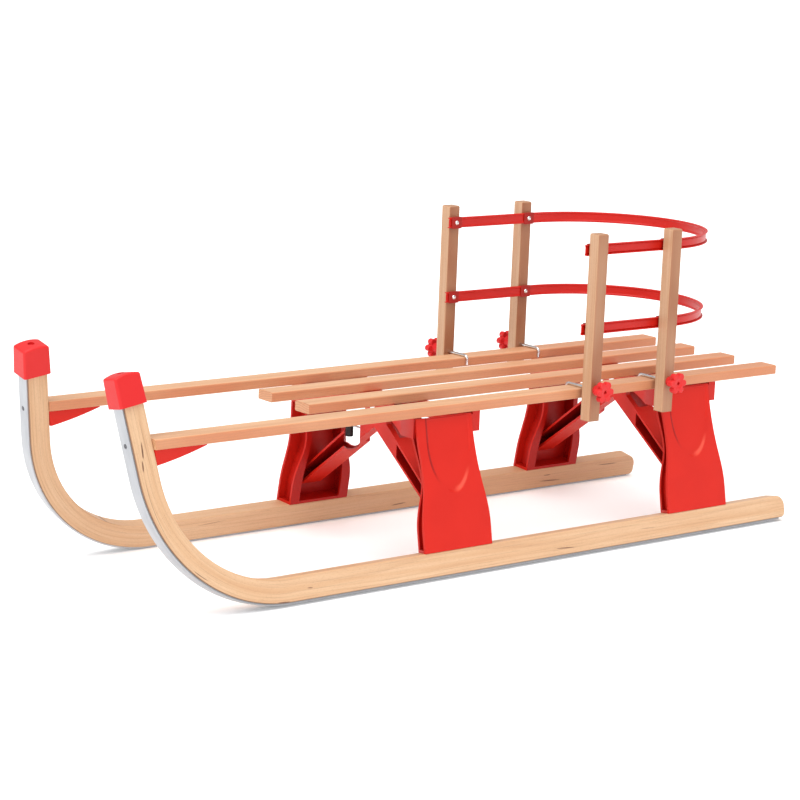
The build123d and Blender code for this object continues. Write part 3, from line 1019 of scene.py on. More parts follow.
    def _veneers(self, shader: Shader, colour: Sock, along: Sock, depth: Sock, seed: float) -> Sock:
        """The tone of each veneer, the dark glued joints between them and a band of painted shade beside the
        strip.

        Args:
            shader: the material.
            colour: the wood's colour.
            along: distance along the runner.
            depth: depth from the outer face.
            seed: a number that shifts the pattern.

        Returns:
            The new colour.
        """
        layer = depth / self.veneer
        tone = shader.chance(layer.to("FLOOR") + seed)
        colour = shader.blend(tone * 0.40, colour, self.warm)
        edge = abs(layer.to("FRACT") - 0.5)
        broken = shader.noise(shader.vector(along / 0.05 + seed, layer * 0.9, seed), 2.0)
        colour = shader.veil(edge, (0.45, 0.49, broken.step(0.44, 0.64) * 0.55), colour, self.glue_and_gap_shade)
        # Painted shade: the wood just beside the strip is darkened for the shadow in the gap along its edges.
        return shader.veil(depth, (1.6 * MM, 0.6 * MM, 0.75), colour, self.glue_and_gap_shade)

    def _marked(
        self, shader: Shader, colour: Sock, along: Sock, depth: Sock, marks: Sequence[Mark]
    ) -> Sock:
        """Darkens the natural marks.

        Args:
            shader: the material.
            colour: the wood's colour.
            along: distance along the runner.
            depth: depth from the outer face.
            marks: where they are.

        Returns:
            The new colour.
        """
        ragged = shader.noise(shader.vector(along / 0.004, depth / 0.0012, 0.0), 2.0) - 0.5
        for mark in marks:
            far = (along - mark.along) / mark.length
            off = (depth - mark.depth - far * mark.slant) / mark.width
            reach = (far * far + off * off + ragged * 0.8).step(1.1, 0.25)
            colour = shader.blend(reach * mark.strength, colour, self.glue_and_gap_shade)
        return colour


@dataclass(frozen=True)
class Moulded:
    """Moulded plastic with a fine spark-eroded grain, painted shade in its hollows and, on a leg, painted
    shade and a painted highlight along the tongue's edges.
    """

    colour: Colour
    deep: Colour
    # Painted shade, laid in the hollows and along the tongue's front edge.
    dirty: Colour = (0.26, 0.001, 0.0005)
    # Painted highlight along the tongue's toe.
    painted_highlight: Colour = (0.86, 0.13, 0.08)
    # Share of the painted shade in the most sheltered hollows.
    painted_shade_share: float = 0.85
    roughness: float = 0.42
    grain: float = 0.55 * MM
    depth: float = 0.03 * MM

    def material(self, name: str, tongue: Tongue | None = None) -> bpy.types.Material:
        """The finish.

        Args:
            name: the material's name.
            tongue: the recess in the outer panel, if the piece has one.

        Returns:
            The material.
        """
        shader = Shader(name)
        fine = shader.noise(shader.cells(self.grain), 2.0, 0.6)
        cloud = shader.noise(shader.cells(50 * MM))
        rub = shader.noise(shader.cells(12 * MM, 12 * MM, 4 * MM), 3.0, 0.65)
        shelter = shader.node("ShaderNodeAttribute", {"attribute_name": "shelter"}, {}, "Fac")
        colour = shader.veil(cloud, (0.30, 0.75, 0.30), self.colour, self.deep)
        colour = shader.veil(fine, (0.45, 0.80, 0.08), colour, self.deep)
        # Painted shade: the hollows are darkened by how sheltered each face is.
        colour = shader.veil(shelter, (0.12, 0.85, self.painted_shade_share), colour, self.dirty)
        if tongue is not None:
            # Painted shade along the tongue's front edge and a painted highlight along its toe.
            shade, shine = tongue.edges(shader)
            colour = shader.blend(shade * 0.9, colour, self.dirty)
            colour = shader.blend(shine * 0.6, colour, self.painted_highlight)
        return shader.finish(
            Base_Color=colour,
            Roughness=self.roughness + (rub - 0.5) * 0.18 + (fine - 0.5) * 0.10,
            Specular_IOR_Level=0.25,
            Normal=shader.bump(fine, self.depth, 0.6),
        )


@dataclass(frozen=True)
class DrawnSteel:
    """Cold rolled strip, brushed along its length."""

    colour: Colour = (0.47, 0.48, 0.50)
    dark: Colour = (0.32, 0.33, 0.35)

    def material(self, name: str, line: RunnerLine) -> bpy.types.Material:
        """The finish for a strip on a runner.

        Args:
            name: the material's name.
            line: the line that the strip follows.

        Returns:
            The material.
        """
        shader = Shader(name)
        along, _, across = line.coordinates(shader)
        brush = shader.noise(shader.vector(along / 0.06, across / 0.00025, 0.0), 3.0, 0.7)
        patch = shader.noise(shader.vector(along / 0.05, across / 0.012, 3.0), 3.0, 0.6)
        colour = shader.veil(patch, (0.35, 0.80, 0.45), self.colour, self.dark)
        colour = shader.veil(brush, (0.40, 0.75, 0.18), colour, self.dark)
        return shader.finish(
            Base_Color=colour,
            Metallic=1.0,
            Roughness=0.34 + (brush - 0.5) * 0.20 + (patch - 0.5) * 0.16,
            Normal=shader.bump(brush, 0.02 * MM, 0.5),
        )


@dataclass(frozen=True)
class Plated:
    """Bright zinc plate on wire, pins and screws."""

    colour: Colour = (0.80, 0.80, 0.80)
    dull: Colour = (0.52, 0.53, 0.55)

    def material(self, name: str) -> bpy.types.Material:
        """The finish.

        Args:
            name: the material's name.

        Returns:
            The material.
        """
        shader = Shader(name)
        spangle = shader.noise(shader.cells(1.5 * MM), 3.0, 0.6)
        cloud = shader.noise(shader.cells(10 * MM), 1.0)
        colour = shader.veil(cloud, (0.40, 0.80, 0.50), self.colour, self.dull)
        return shader.finish(
            Base_Color=colour,
            Metallic=1.0,
            Roughness=0.24 + (spangle - 0.5) * 0.20,
            Normal=shader.bump(spangle, 0.01 * MM, 0.4),
        )


@dataclass(frozen=True)
class PowderCoat:
    """Powder coat on sheet metal, with its faint orange peel."""

    colour: Colour = (0.54, 0.008, 0.003)
    deep: Colour = (0.45, 0.005, 0.002)

    def material(self, name: str) -> bpy.types.Material:
        """The finish.

        Args:
            name: the material's name.

        Returns:
            The material.
        """
        shader = Shader(name)
        peel = shader.noise(shader.cells(2.2 * MM), 1.0)
        cloud = shader.noise(shader.cells(40 * MM, 40 * MM, 20 * MM))
        colour = shader.veil(cloud, (0.30, 0.80, 0.35), self.colour, self.deep)
        return shader.finish(
            Base_Color=colour,
            Roughness=0.34 + (cloud - 0.5) * 0.12,
            Specular_IOR_Level=0.3,
            Normal=shader.bump(peel, 0.06 * MM, 0.35),
        )


@dataclass
class Finishes:
    """Every finish on the sled, made once."""

    line: RunnerLine = field(default_factory=RunnerLine.of_frame)
    runner_beech: Beech = Beech(pale=(0.69, 0.47, 0.29), warm=(0.59, 0.345, 0.185))
    slat_beech: Beech = Beech(
        pale=(0.68, 0.40, 0.225), warm=(0.58, 0.30, 0.150), flank=(0.56, 0.205, 0.095), drift=0.7
    )
    # The posts' side faces are darker still, partly as painted shade.
    post_beech: Beech = Beech(pale=(0.57, 0.365, 0.225), warm=(0.50, 0.27, 0.145), flank=(0.30, 0.110, 0.048))
    supports: Moulded = Moulded((0.58, 0.013, 0.005), (0.48, 0.008, 0.003))
    saddles: Moulded = Moulded((0.36, 0.013, 0.008), (0.24, 0.008, 0.005))
    caps: Moulded = Moulded((0.64, 0.022, 0.022), (0.56, 0.015, 0.016), roughness=0.38)
    dark: Moulded = Moulded((0.030, 0.028, 0.030), (0.015, 0.014, 0.016), roughness=0.5)

    def __post_init__(self) -> None:
        """Makes the materials that several pieces share."""
        self.support_plastic = self.supports.material("support_plastic")
        self.saddle_plastic = self.saddles.material("saddle_plastic")
        self.cap_plastic = self.caps.material("cap_plastic")
        self.dark_plastic = self.dark.material("dark_plastic")
        self.strip_steel = DrawnSteel().material("strip_steel", self.line)
        self.plated_steel = Plated().material("plated_steel")
        self.screw_steel = Plated((0.13, 0.13, 0.14), (0.07, 0.07, 0.08)).material("screw_steel")
        self.red_sheet = PowderCoat().material("red_sheet")


# ---------------------------------------------------------------- hardware that repeats
@dataclass(frozen=True)
class RoundHead:
    """A low round screw or rivet head, repeated on every seed point."""

    radius: float = 3.6 * MM
    rise: float = 1.8 * MM
    slot: float = 0.0
    sides: int = 28
    skirt: float = -0.28
    slot_reach: float = 0.62
    slot_floor: float = 0.3
    slot_depth: float = 0.45

    def grow(
        self, name: str, places: Sequence[tuple[Vector, Vector]], material: bpy.types.Material
    ) -> bpy.types.Mesh:
        """Puts a head on every place, standing along its normal.

        Args:
            name: the mesh's name.
            places: a point and the way the head stands, for each.
            material: the heads' finish.

        Returns:
            One plain mesh of all the heads.
        """
        growth = Growth(name + "_growth", {"Radius": self.radius, "Rise": self.rise, "Slot": self.slot})
        radius, rise = growth.inputs["Radius"], growth.inputs["Rise"]
        dome = growth.node(
            "GeometryNodeMeshUVSphere", {}, {"Segments": self.sides, "Rings": 16, "Radius": 1.0}, "Mesh"
        )
        position = growth.node("GeometryNodeInputPosition")
        split = growth.node("ShaderNodeSeparateXYZ", {}, {0: position}).out.node
        x, y, z = (Sock(growth, split.outputs[i]) for i in range(3))
        skirt = z.to("MAXIMUM", self.skirt)
        wide = (x * x + y * y).to("SQRT")
        cross = (abs(x) < growth.inputs["Slot"]).to("MAXIMUM", abs(y) < growth.inputs["Slot"])
        cut = cross * (wide < self.slot_reach) * (z > self.slot_floor) * self.slot_depth
        shaped = growth.vector(x * radius, y * radius, (skirt - cut) * rise)
        head = growth.node("GeometryNodeSetPosition", {}, {"Geometry": dome, "Position": shaped})
        smooth = growth.node("GeometryNodeSetShadeSmooth", {}, {"Geometry": head})
        facing = growth.node(
            "GeometryNodeInputNamedAttribute", {"data_type": "FLOAT_VECTOR"}, {"Name": "facing"}, "Attribute"
        )
        turn = growth.node(
            "FunctionNodeAlignRotationToVector", {"axis": "Z"}, {"Vector": facing}, "Rotation"
        )
        seeds = growth.node("NodeGroupInput", {}, {}, 0)
        heads = growth.node(
            "GeometryNodeInstanceOnPoints", {}, {"Points": seeds, "Instance": smooth, "Rotation": turn}
        )
        growth.close(heads, material)
        return growth.grow(name, self._seeds(name, places))

    def _seeds(self, name: str, places: Sequence[tuple[Vector, Vector]]) -> bpy.types.Mesh:
        """A loose point for each place, carrying the way its head faces.

        Args:
            name: the mesh's name.
            places: a point and a normal for each.

        Returns:
            The mesh of points.
        """
        mesh = bpy.data.meshes.new(name + "_seeds")
        mesh.from_pydata([point for point, _ in places], [], [])
        facing = mesh.attributes.new("facing", "FLOAT_VECTOR", "POINT")
        for stored, (_, normal) in zip(facing.data, places):
            stored.vector = normal
        return mesh


# ---------------------------------------------------------------- runners
@dataclass(frozen=True)
class Strip:
    """Rolled steel strip that follows the runner's line from its heel to the cap."""

    line: RunnerLine
    thickness: float = 2.5 * MM
    crown: float = 0.4 * MM
    edge_radius: float = 0.7 * MM
    foot_radius: float = 0.2 * MM
    heel_x: float = 6.0 * MM
    crown_steps: int = 14
    points: int = 260

    def outline(self) -> list[tuple[float, float]]:
        """The strip's section, flat on the wood and crowned outside.

        Returns:
            The section's points.
        """
        half, rise = self.line.strip_width / 2, self.thickness / 2
        shoulder = rise - self.crown
        flat = [(-half, -rise, self.foot_radius), (half, -rise, self.foot_radius)]
        flat.append((half, shoulder, self.edge_radius))
        points = round_corners(flat)
        for step in range(1, self.crown_steps):
            place = 1 - 2 * step / self.crown_steps
            points.append((place * half, rise - self.crown * place**2))
        last_corner = round_corners([*flat, (-half, shoulder, self.edge_radius)])
        points.extend(last_corner[-(CORNER_STEPS + 1) :])
        return points

    def grow(self, name: str, side: Side, rise: float, material: bpy.types.Material) -> bpy.types.Mesh:
        """Sweeps the section along the sole, round the bend and up the horn.

        Args:
            name: the mesh's name.
            side: the half.
            rise: length of the strip's straight top run.
            material: its finish.

        Returns:
            The strip.
        """
        line = self.line
        reach = line.radius + self.thickness / 2
        sizes = {
            "Bend radius": reach,
            "Bend angle": math.pi / 2 - line.lean,
            "Sole length": line.bend_x - self.heel_of_sole(),
            "Horn length": rise,
        }
        growth = Growth(name + "_growth", sizes)
        radius, angle = growth.inputs["Bend radius"], growth.inputs["Bend angle"]
        sole, horn = growth.inputs["Sole length"], growth.inputs["Horn length"]
        curve, factor = growth.path(self.points)
        arc = radius * angle
        along = factor * (sole + arc + horn) - sole
        turn = along.to("MAXIMUM", 0.0).to("MINIMUM", arc) / radius
        back = along.to("MINIMUM", 0.0)
        up = (along - arc).to("MAXIMUM", 0.0)
        ahead = back + radius * turn.to("SINE") + up * math.sin(line.lean)
        over = up * math.cos(line.lean) - radius * turn.to("COSINE")
        centre = line.strip + line.radius
        body = growth.sweep(curve, growth.vector(ahead + line.bend_x, 0.0, over + centre))
        place = {
            "Geometry": body,
            "Translation": (0.0, side.sign * line.sole_y, line.sole_z),
            "Rotation": (side.sign * line.cant, 0.0, 0.0),
        }
        growth.close(growth.node("GeometryNodeTransform", {}, place), material)
        return growth.grow(name, outline_mesh(name, self.outline()))

    def heel_of_sole(self) -> float:
        """Where the strip begins, a little ahead of the slats' rear ends."""
        return self.line.bend_x - self.line.heel + self.heel_x


@dataclass
class Runner:
    """One bent runner with its steel strip, its cap and the gusset behind its horn."""

    side: Side
    finishes: Finishes
    screw_along: float = 43.0 * MM
    screw_sunk: float = 0.3 * MM
    screw: RoundHead = RoundHead(radius=3.4 * MM, rise=0.9 * MM, slot=0.2)
    right_drift: float = 0.6
    marks: dict[Side, tuple[Mark, ...]] = field(
        default_factory=lambda: {
            Side.LEFT: (
                Mark(0.3270, 12.0 * MM, 12.0 * MM, 1.4 * MM, 1.2 * MM, 0.95),
                Mark(0.3090, 8.2 * MM, 8.0 * MM, 1.2 * MM, 0.9 * MM, 0.95),
                Mark(0.2500, 6.0 * MM, 52.0 * MM, 0.55 * MM, 1.5 * MM, 0.5),
                Mark(0.3350, 17.5 * MM, 36.0 * MM, 0.45 * MM, -1.0 * MM, 0.4),
                Mark(-0.4540, 9.4 * MM, 19.0 * MM, 0.9 * MM, 1.2 * MM),
                Mark(-0.6080, 17.2 * MM, 17.0 * MM, 0.7 * MM, 0.6 * MM, 0.4),
                Mark(0.1440, 3.6 * MM, 15.0 * MM, 0.6 * MM, -0.6 * MM),
                Mark(-0.0290, 14.5 * MM, 4.5 * MM, 1.0 * MM, 0.5 * MM, 0.7),
                Mark(0.0120, 1.2 * MM, 11.0 * MM, 1.2 * MM),
            ),
            Side.RIGHT: (
                Mark(-0.4170, 8.5 * MM, 15.0 * MM, 1.1 * MM, -0.7 * MM),
                Mark(-0.7000, 19.8 * MM, 8.0 * MM, 0.9 * MM),
                Mark(-0.7080, 10.0 * MM, 23.0 * MM, 1.1 * MM, 1.0 * MM),
                Mark(-0.8230, 23.6 * MM, 22.0 * MM, 0.9 * MM, 0.5 * MM),
                Mark(-0.0920, 21.8 * MM, 26.0 * MM, 0.5 * MM, -1.4 * MM, 0.6),
            ),
        }
    )

    def build(self) -> None:
        """Makes every piece of this runner."""
        word, body = self.side.word, self.side.body
        seed = 3.0 if self.side is Side.LEFT else 8.0
        line = self.finishes.line
        beech = self.finishes.runner_beech
        if self.side is Side.RIGHT:
            beech = replace(beech, drift=self.right_drift)
        wood = beech.material(f"runner_beech_{word}", Grain.RUNNER, seed, line, self.marks[self.side])
        for node, slot, edge, finish in (
            ("runner", "beech", Edge(0.5 * MM, 2), wood),
            ("horn_cap", "cap_plastic", Edge(0.5 * MM, 3), self.finishes.cap_plastic),
            ("horn_gusset", "red_plastic", Edge(0.9 * MM, 3), self.finishes.support_plastic),
        ):
            dress(f"{node}_{word}", edge, finish, body)
        self._strip()
        self._screw()

    def _strip(self) -> None:
        """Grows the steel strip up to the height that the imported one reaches."""
        line = self.finishes.line
        node = f"runner_strip_{self.side.word}"
        name = node + "_shown"
        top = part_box(node)[1].z
        foot, head = (line.point(along, line.strip, 0.0, self.side).z for along in (0.0, 1.0))
        rise = (top - foot - line.strip_width / 2 * math.sin(line.cant)) / (head - foot)
        mesh = Strip(line).grow(name, self.side, rise, self.finishes.strip_steel)
        show(name, Edge(0.0).ease(mesh, name), self.side.body, None, [node])

    def _screw(self) -> None:
        """Puts the strip's screw head on the horn."""
        line = self.finishes.line
        name = f"strip_screw_{self.side.word}"
        point = line.point(self.screw_along, line.strip - self.screw_sunk, 0.0, self.side)
        mesh = self.screw.grow(name, [(point, line.facing(self.side))], self.finishes.screw_steel)
        show(name, mesh, self.side.body)


# ---------------------------------------------------------------- seat
@dataclass
class Seat:
    """The slats of both halves."""

    finishes: Finishes
    edge: Edge = Edge(0.3 * MM, 2)
    seed: float = 2.0
    slat_seed: float = 3.1
    side_seed: float = 5.3

    def build(self) -> None:
        """Makes every slat in its own wood."""
        for side in Side:
            for number, kind in enumerate(("outer_slat", "inner_slat")):
                node = f"{kind}_{side.word}"
                seed = self.seed + self.slat_seed * number + self.side_seed * (side is Side.RIGHT)
                beech = self.finishes.slat_beech
                wood = beech.material(f"{node}_beech", Grain.ALONG_X, seed, Board.of(node))
                dress(node, self.edge, wood, side.body)


# ---------------------------------------------------------------- supports
@dataclass
class Supports:
    """The moulded supports, their hinge pins and the latch."""

    finishes: Finishes
    edge: Edge = Edge(0.7 * MM, 2)
    pin_edge: Edge = Edge(0.5 * MM, 2)

    def build(self) -> None:
        """Makes the four moulded halves, the pins and the latch."""
        for place in Place:
            tongue = Tongue.of(f"support_{place.value}_left", self.finishes.line)
            plastic = self.finishes.supports.material(f"support_plastic_{place.value}", tongue)
            for side in Side:
                node = f"support_{place.value}_{side.word}"
                dress(node, self.edge, plastic, side.body, shade_hollows=True)
            steel = self.finishes.plated_steel
            dress(f"hinge_pin_{place.value}", self.pin_edge, steel, Side.LEFT.body)
        self._latch()

    def _latch(self) -> None:
        """Makes the latch's wire and grip."""
        for node, slot, finish in (
            ("latch_bail", "plated_steel", self.finishes.plated_steel),
            ("latch_grip", "dark_plastic", self.finishes.dark_plastic),
        ):
            dress(node, self.pin_edge, finish, Side.RIGHT.body)


# ---------------------------------------------------------------- backrest
@dataclass(frozen=True)
class Band:
    """Rolled channel, its flanges outwards, bent round the back of the seat."""

    depth: float = 4.5 * MM
    sheet: float = 1.5 * MM
    bend_radius: float = 1.0 * MM
    lip_radius: float = 0.5 * MM
    small_radius: float = 0.3 * MM
    rim: float = 2.3 * MM
    pressed: float = 0.7 * MM
    outer_slope: float = 1.0 * MM
    inner_slope: float = 1.8 * MM
    points: int = 220

    def outline(self, height: float) -> list[tuple[float, float]]:
        """The channel's section, its web towards the seat.

        Args:
            height: the band's height.

        Returns:
            The section's points.
        """
        out, up = self.depth / 2, height / 2
        web, inner = self.sheet - out, up - self.sheet
        flat, pressed = up - self.rim, self.pressed
        small = self.small_radius
        lower = [
            (-out, -up, self.bend_radius),
            (out, -up, self.lip_radius),
            (out, -inner, self.lip_radius),
            (web, -inner, small),
            (web + pressed, self.inner_slope - inner, small),
        ]
        back = [(pressed - out, flat - self.outer_slope, small), (-out, flat, small)]
        upper = [(x, -y, radius) for x, y, radius in reversed(lower)]
        groove = [*reversed(back), *((x, -y, radius) for x, y, radius in back)]
        return round_corners([*lower, *upper, *groove])

    def grow(self, name: str, node: str, material: bpy.types.Material) -> bpy.types.Mesh:
        """Sweeps the section forwards, round the half circle and forwards again.

        Args:
            name: the mesh's name.
            node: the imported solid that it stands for.
            material: its finish.

        Returns:
            The band.
        """
        low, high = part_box(node)
        reach = high.y - self.depth / 2
        sizes = {"Bend radius": reach, "Straight": high.x - low.x - high.y}
        growth = Growth(name + "_growth", sizes)
        radius, straight = growth.inputs["Bend radius"], growth.inputs["Straight"]
        curve, factor = growth.path(self.points)
        quarter = radius * (math.pi / 2)
        along = (factor - 0.5) * 2.0 * (straight + quarter)
        turn = along.to("MAXIMUM", quarter * -1.0).to("MINIMUM", quarter) / radius
        ahead = (abs(along) - quarter).to("MAXIMUM", 0.0) - radius * turn.to("COSINE")
        across = radius * turn.to("SINE") * -1.0
        middle = growth.vector(ahead + (low.x + high.y), across, (low.z + high.z) / 2)
        growth.close(growth.sweep(curve, middle), material)
        return growth.grow(name, outline_mesh(name, self.outline(high.z - low.z)))


@dataclass(frozen=True)
class Saddle:
    """Thin moulded saddle that seats a band on its post, under the rivet's head."""

    length: float = 18.0 * MM
    over: float = 1.0 * MM
    thickness: float = 1.1 * MM
    corner: float = 1.6 * MM
    edge: float = 0.3 * MM
    taper: float = 0.97

    def grow(
        self, name: str, places: Sequence[tuple[Vector, float]], height: float, material: bpy.types.Material
    ) -> bpy.types.Mesh:
        """Puts a saddle on the inner face of a band at each place.

        Args:
            name: the mesh's name.
            places: the middle of each saddle and the sign of its side.
            height: the band's height.
            material: the saddles' finish.

        Returns:
            One mesh of all the saddles.
        """
        half_x, half_z = self.length / 2, height / 2 + self.over
        signs = ((-1, -1), (1, -1), (1, 1), (-1, 1))
        rounded = round_corners([(x * half_x, z * half_z, self.corner) for x, z in signs])
        levels = ((0.0, 1.0), (self.thickness - self.edge, 1.0), (self.thickness, self.taper))
        stacks = [
            [
                [(middle.x + x * scale, middle.y - sign * deep, middle.z + z * scale) for x, z in rounded]
                for deep, scale in levels
            ]
            for middle, sign in places
        ]
        return ringed_mesh(name, stacks, material)


@dataclass(frozen=True)
class StarKnob:
    """Moulded knob with rounded lobes, a dished face with an eye, and a tapered neck."""

    lobes: int = 6
    reach: float = 15.0 * MM
    lobe: float = 4.6 * MM
    head: float = 9.0 * MM
    neck: float = 8.0 * MM
    eye: float = 2.4 * MM
    eye_depth: float = 4.2 * MM
    eye_lip: float = 0.3 * MM
    dish: float = 0.9 * MM
    dish_reach: tuple[float, float, float] = (2.4 * MM, 3.8 * MM, 5.0 * MM)
    rounding: float = 1.6 * MM
    neck_fillet: Span = (0.6 * MM, 0.5 * MM)
    neck_edge: float = 0.4 * MM
    neck_taper: Span = (0.86, 0.82)
    shallow: float = 0.25
    body: float = 0.98
    sharpness: float = 24.0
    steps: tuple[int, int] = (5, 4)
    segments: int = 120
    edge: Edge = Edge(0.0, sharp=40.0)

    def _star(self, angle: float) -> float:
        """Radius of the lobed outline at an angle.

        Args:
            angle: the angle round the knob's axis.

        Returns:
            The radius.
        """
        middle = self.reach - self.lobe
        pitch = math.tau / self.lobes
        off = abs((angle + pitch / 2) % pitch - pitch / 2)
        room = self.lobe**2 - (middle * math.sin(off)) ** 2
        lobed = middle * math.cos(off) + math.sqrt(room) if room > 0 else 0.0
        return ((middle * self.body) ** self.sharpness + lobed**self.sharpness) ** (1 / self.sharpness)

    def _rings(self, length: float) -> list[tuple[float, float, float]]:
        """Depth below the face of each ring, its inset from the lobed outline and its round radius.

        Args:
            length: the knob's whole length with its neck.

        Returns:
            The rings, from the eye's bottom over the face and down the neck. A round radius of 0
            stands for the lobed outline.
        """
        near, far, brink = (self.eye + reach for reach in self.dish_reach)
        rings = [
            (self.eye_depth, 0.0, self.eye),
            (self.dish + self.eye_lip, 0.0, self.eye),
            (self.dish, 0.0, self.eye + self.eye_lip),
            (self.dish, 0.0, near),
            (self.shallow * self.dish, 0.0, far),
            (0.0, 0.0, brink),
        ]
        upper, lower = self.steps
        over = [math.pi / 2 * step / upper for step in reversed(range(upper + 1))]
        under = [math.pi / 2 * step / lower for step in range(lower + 1)]
        for turn in over:
            rings.append((self.rounding * (1 - math.sin(turn)), self.rounding * (1 - math.cos(turn)), 0.0))
        for turn in under:
            depth = self.head - self.rounding * (1 - math.sin(turn))
            rings.append((depth, self.rounding * (1 - math.cos(turn)), 0.0))
        wide, deep = self.neck_fillet
        rings.append((self.head, 0.0, self.neck + wide))
        rings.append((self.head + deep, 0.0, self.neck))
        rings.append((length - self.neck_edge, 0.0, self.neck * self.neck_taper[0]))
        rings.append((length, 0.0, self.neck * self.neck_taper[1]))
        return rings

    def grow(self, node: str, side: Side, material: bpy.types.Material) -> bpy.types.Mesh:
        """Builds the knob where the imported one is.

        Args:
            node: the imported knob.
            side: the half that it is on.
            material: its finish.

        Returns:
            The knob.
        """
        low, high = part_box(node)
        face = high.y if side is Side.LEFT else low.y
        middle_x, middle_z = (low.x + high.x) / 2, (low.z + high.z) / 2
        angles = [math.tau * number / self.segments for number in range(self.segments)]
        stack = []
        for depth, inset, radius in self._rings(high.y - low.y):
            y = face - side.sign * depth
            reaches = [radius or self._star(angle) - inset for angle in angles]
            stack.append(
                [
                    (middle_x + reach * math.cos(angle), y, middle_z + reach * math.sin(angle))
                    for angle, reach in zip(angles, reaches)
                ]
            )
        mesh = ringed_mesh(node + "_shown", [stack], material)
        return self.edge.ease(mesh, node + "_shown")


@dataclass
class Backrest:
    """Posts, bent bands, clamp hooks and star knobs."""

    finishes: Finishes
    body: str = "backrest"
    post_edge: Edge = Edge(0.25 * MM, 2)
    wire_edge: Edge = Edge(0.2 * MM, 2, 50.0)
    rivet: RoundHead = RoundHead(radius=3.3 * MM, rise=2.0 * MM)
    saddle: Saddle = Saddle()
    knob: StarKnob = StarKnob()
    seed: float = 4.0
    post_seed: float = 2.3

    def build(self) -> None:
        """Makes the whole backrest."""
        for number, (place, side) in enumerate((p, s) for p in Place for s in Side):
            post = f"post_{place.value}_{side.word}"
            seed = self.seed + self.post_seed * number
            wood = self.finishes.post_beech.material(f"{post}_beech", Grain.UPRIGHT, seed, Board.of(post))
            dress(post, self.post_edge, wood, self.body)
            hook = f"clamp_hook_{place.value}_{side.word}"
            dress(hook, self.wire_edge, self.finishes.plated_steel, self.body)
            knob = f"star_knob_{place.value}_{side.word}"
            mesh = self.knob.grow(knob, side, self.finishes.cap_plastic)
            show(knob + "_shown", mesh, self.body, None, [knob])
        for node in ("band_upper", "band_lower"):
            mesh = Band().grow(node + "_shown", node, self.finishes.red_sheet)
            eased = Edge(0.0).ease(mesh, node + "_shown")
            show(node + "_shown", eased, self.body, None, [node])
        self._fixings()

    def _fixings(self) -> None:
        """Puts a saddle and a rivet head inside each band where it meets a post."""
        saddles: list[tuple[Vector, float]] = []
        rivets: list[tuple[Vector, Vector]] = []
        height = 0.0
        for node in ("band_upper", "band_lower"):
            low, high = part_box(node)
            height = high.z - low.z
            for place in Place:
                for side in Side:
                    post_low, post_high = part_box(f"post_{place.value}_{side.word}")
                    middle_x = (post_low.x + post_high.x) / 2
                    web = (high.y - Band.depth) * side.sign
                    point = Vector((middle_x, web, (low.z + high.z) / 2))
                    inwards = Vector((0.0, -side.sign, 0.0))
                    saddles.append((point, side.sign))
                    rivets.append((point + inwards * self.saddle.thickness, inwards))
        mesh = self.saddle.grow("band_saddles", saddles, height, self.finishes.saddle_plastic)
        show("band_saddles", Edge(0.0).ease(mesh, "band_saddles"), self.body)
        mesh = self.rivet.grow("band_rivets", rivets, self.finishes.plated_steel)
        show("band_rivets", mesh, self.body)


# ---------------------------------------------------------------- studio
@dataclass(frozen=True)
class SoftSun:
    """A broad, distant soft light."""

    name: str
    heading: float
    height: float
    strength: float
    spread: float

    def build(self) -> None:
        """Adds the light, aimed at the middle of the sled."""
        data = bpy.data.lights.new(self.name, "SUN")
        data.energy = self.strength
        data.angle = self.spread
        level = math.cos(self.height)
        source = Vector(
            (level * math.cos(self.heading), level * math.sin(self.heading), math.sin(self.height))
        )
        light = bpy.data.objects.new(self.name, data)
        light.matrix_world = (-source).to_track_quat("-Z", "Y").to_matrix().to_4x4()
        bpy.context.scene.collection.objects.link(light)


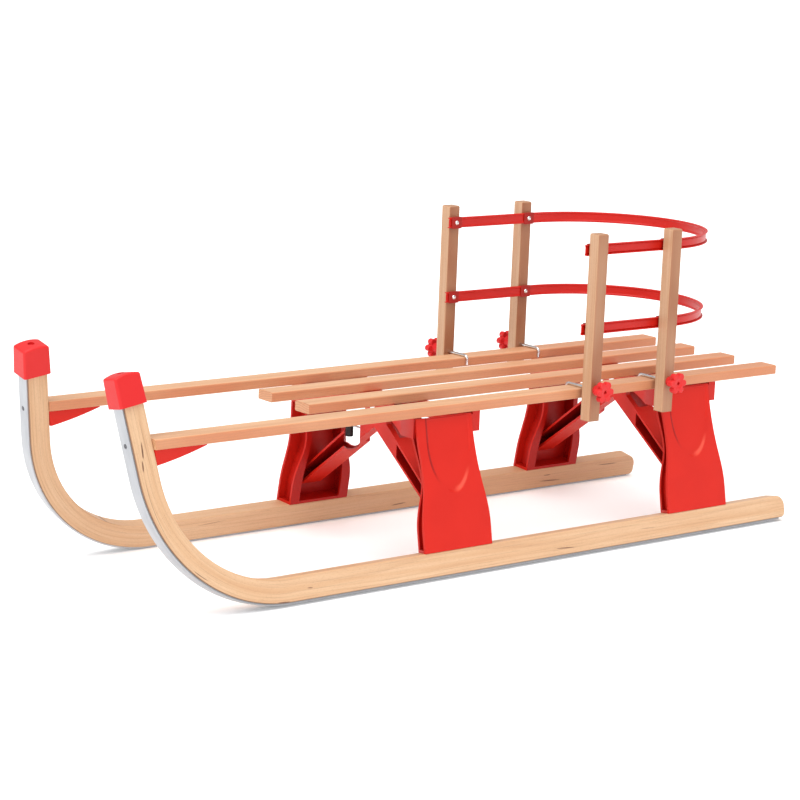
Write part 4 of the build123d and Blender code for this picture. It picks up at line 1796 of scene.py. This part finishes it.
@dataclass(frozen=True)
class Studio:
    """Pale floor, soft lights and the camera."""

    camera_ahead: float = 2.5887
    camera_left: float = 2.562
    camera_height: float = 0.867
    yaw: float = math.radians(-128.1)
    pitch: float = math.radians(-11.52)
    roll: float = math.radians(2.21)
    lens: float = 110.3
    sensor: float = 36.0
    far: float = 200.0
    floor_radius: float = 60.0
    floor_dark: Colour = (0.90, 0.90, 0.90)
    floor_pale: Colour = (0.93, 0.93, 0.93)
    floor_glow: float = 0.16
    surround: float = 0.56
    lights: tuple[SoftSun, ...] = (
        SoftSun("overhead", math.radians(60), math.radians(80), 2.15, math.radians(60)),
        SoftSun("key", math.radians(5), math.radians(42), 1.15, math.radians(30)),
        SoftSun("fill", math.radians(70), math.radians(25), 0.70, math.radians(40)),
    )

    def build(self) -> None:
        """Sets the studio up."""
        self._camera()
        self._floor()
        self._world()
        for light in self.lights:
            light.build()
        bpy.context.scene.view_settings.view_transform = "Standard"

    def _camera(self) -> None:
        """Places the camera from its place and its three angles."""
        level = math.cos(self.pitch)
        ahead = Vector((level * math.cos(self.yaw), level * math.sin(self.yaw), math.sin(self.pitch)))
        right = ahead.cross(Vector((0.0, 0.0, 1.0))).normalized()
        up = right.cross(ahead)
        rolled_right = right * math.cos(self.roll) + up * math.sin(self.roll)
        rolled_up = up * math.cos(self.roll) - right * math.sin(self.roll)
        turn = Matrix((rolled_right, rolled_up, -ahead)).transposed().to_4x4()
        data = bpy.data.cameras.new("camera")
        data.lens = self.lens
        data.sensor_width = self.sensor
        data.clip_end = self.far
        slats_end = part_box("outer_slat_left")[0].x
        place = (slats_end + self.camera_ahead, self.camera_left, self.camera_height)
        camera = bpy.data.objects.new("camera", data)
        camera.matrix_world = Matrix.Translation(place) @ turn
        bpy.context.scene.collection.objects.link(camera)
        bpy.context.scene.camera = camera

    def _floor(self) -> None:
        """Makes the plain pale floor."""
        work = bmesh.new()
        bmesh.ops.create_circle(work, cap_ends=True, segments=64, radius=self.floor_radius)
        mesh = bpy.data.meshes.new("floor")
        work.to_mesh(mesh)
        work.free()
        shader = Shader("floor_paint")
        grain = shader.noise(shader.vector(shader.x / 0.3, shader.y / 0.3, 0.0), 2.0)
        colour = shader.blend(grain, self.floor_dark, self.floor_pale)
        paint = shader.finish(
            Base_Color=colour,
            Roughness=0.9,
            Specular_IOR_Level=0.0,
            Emission_Color=colour,
            Emission_Strength=self.floor_glow,
        )
        mesh.materials.append(paint)
        floor = bpy.data.objects.new("floor", mesh)
        bpy.context.scene.collection.objects.link(floor)

    def _world(self) -> None:
        """Lights everything evenly from a white surround."""
        world = bpy.data.worlds.new("surround")
        world.use_nodes = True
        background = world.node_tree.nodes["Background"]
        background.inputs["Color"].default_value = (1.0, 1.0, 1.0, 1.0)
        background.inputs["Strength"].default_value = self.surround
        bpy.context.scene.world = world


def main() -> None:
    """Builds the sled piece by piece, then its studio."""
    logging.basicConfig(level=logging.INFO, format="%(name)s: %(message)s")
    finishes = Finishes()
    Studio().build()
    for side in Side:
        Runner(side, finishes).build()
    Seat(finishes).build()
    Supports(finishes).build()
    Backrest(finishes).build()


if __name__ == "__main__":
    main()
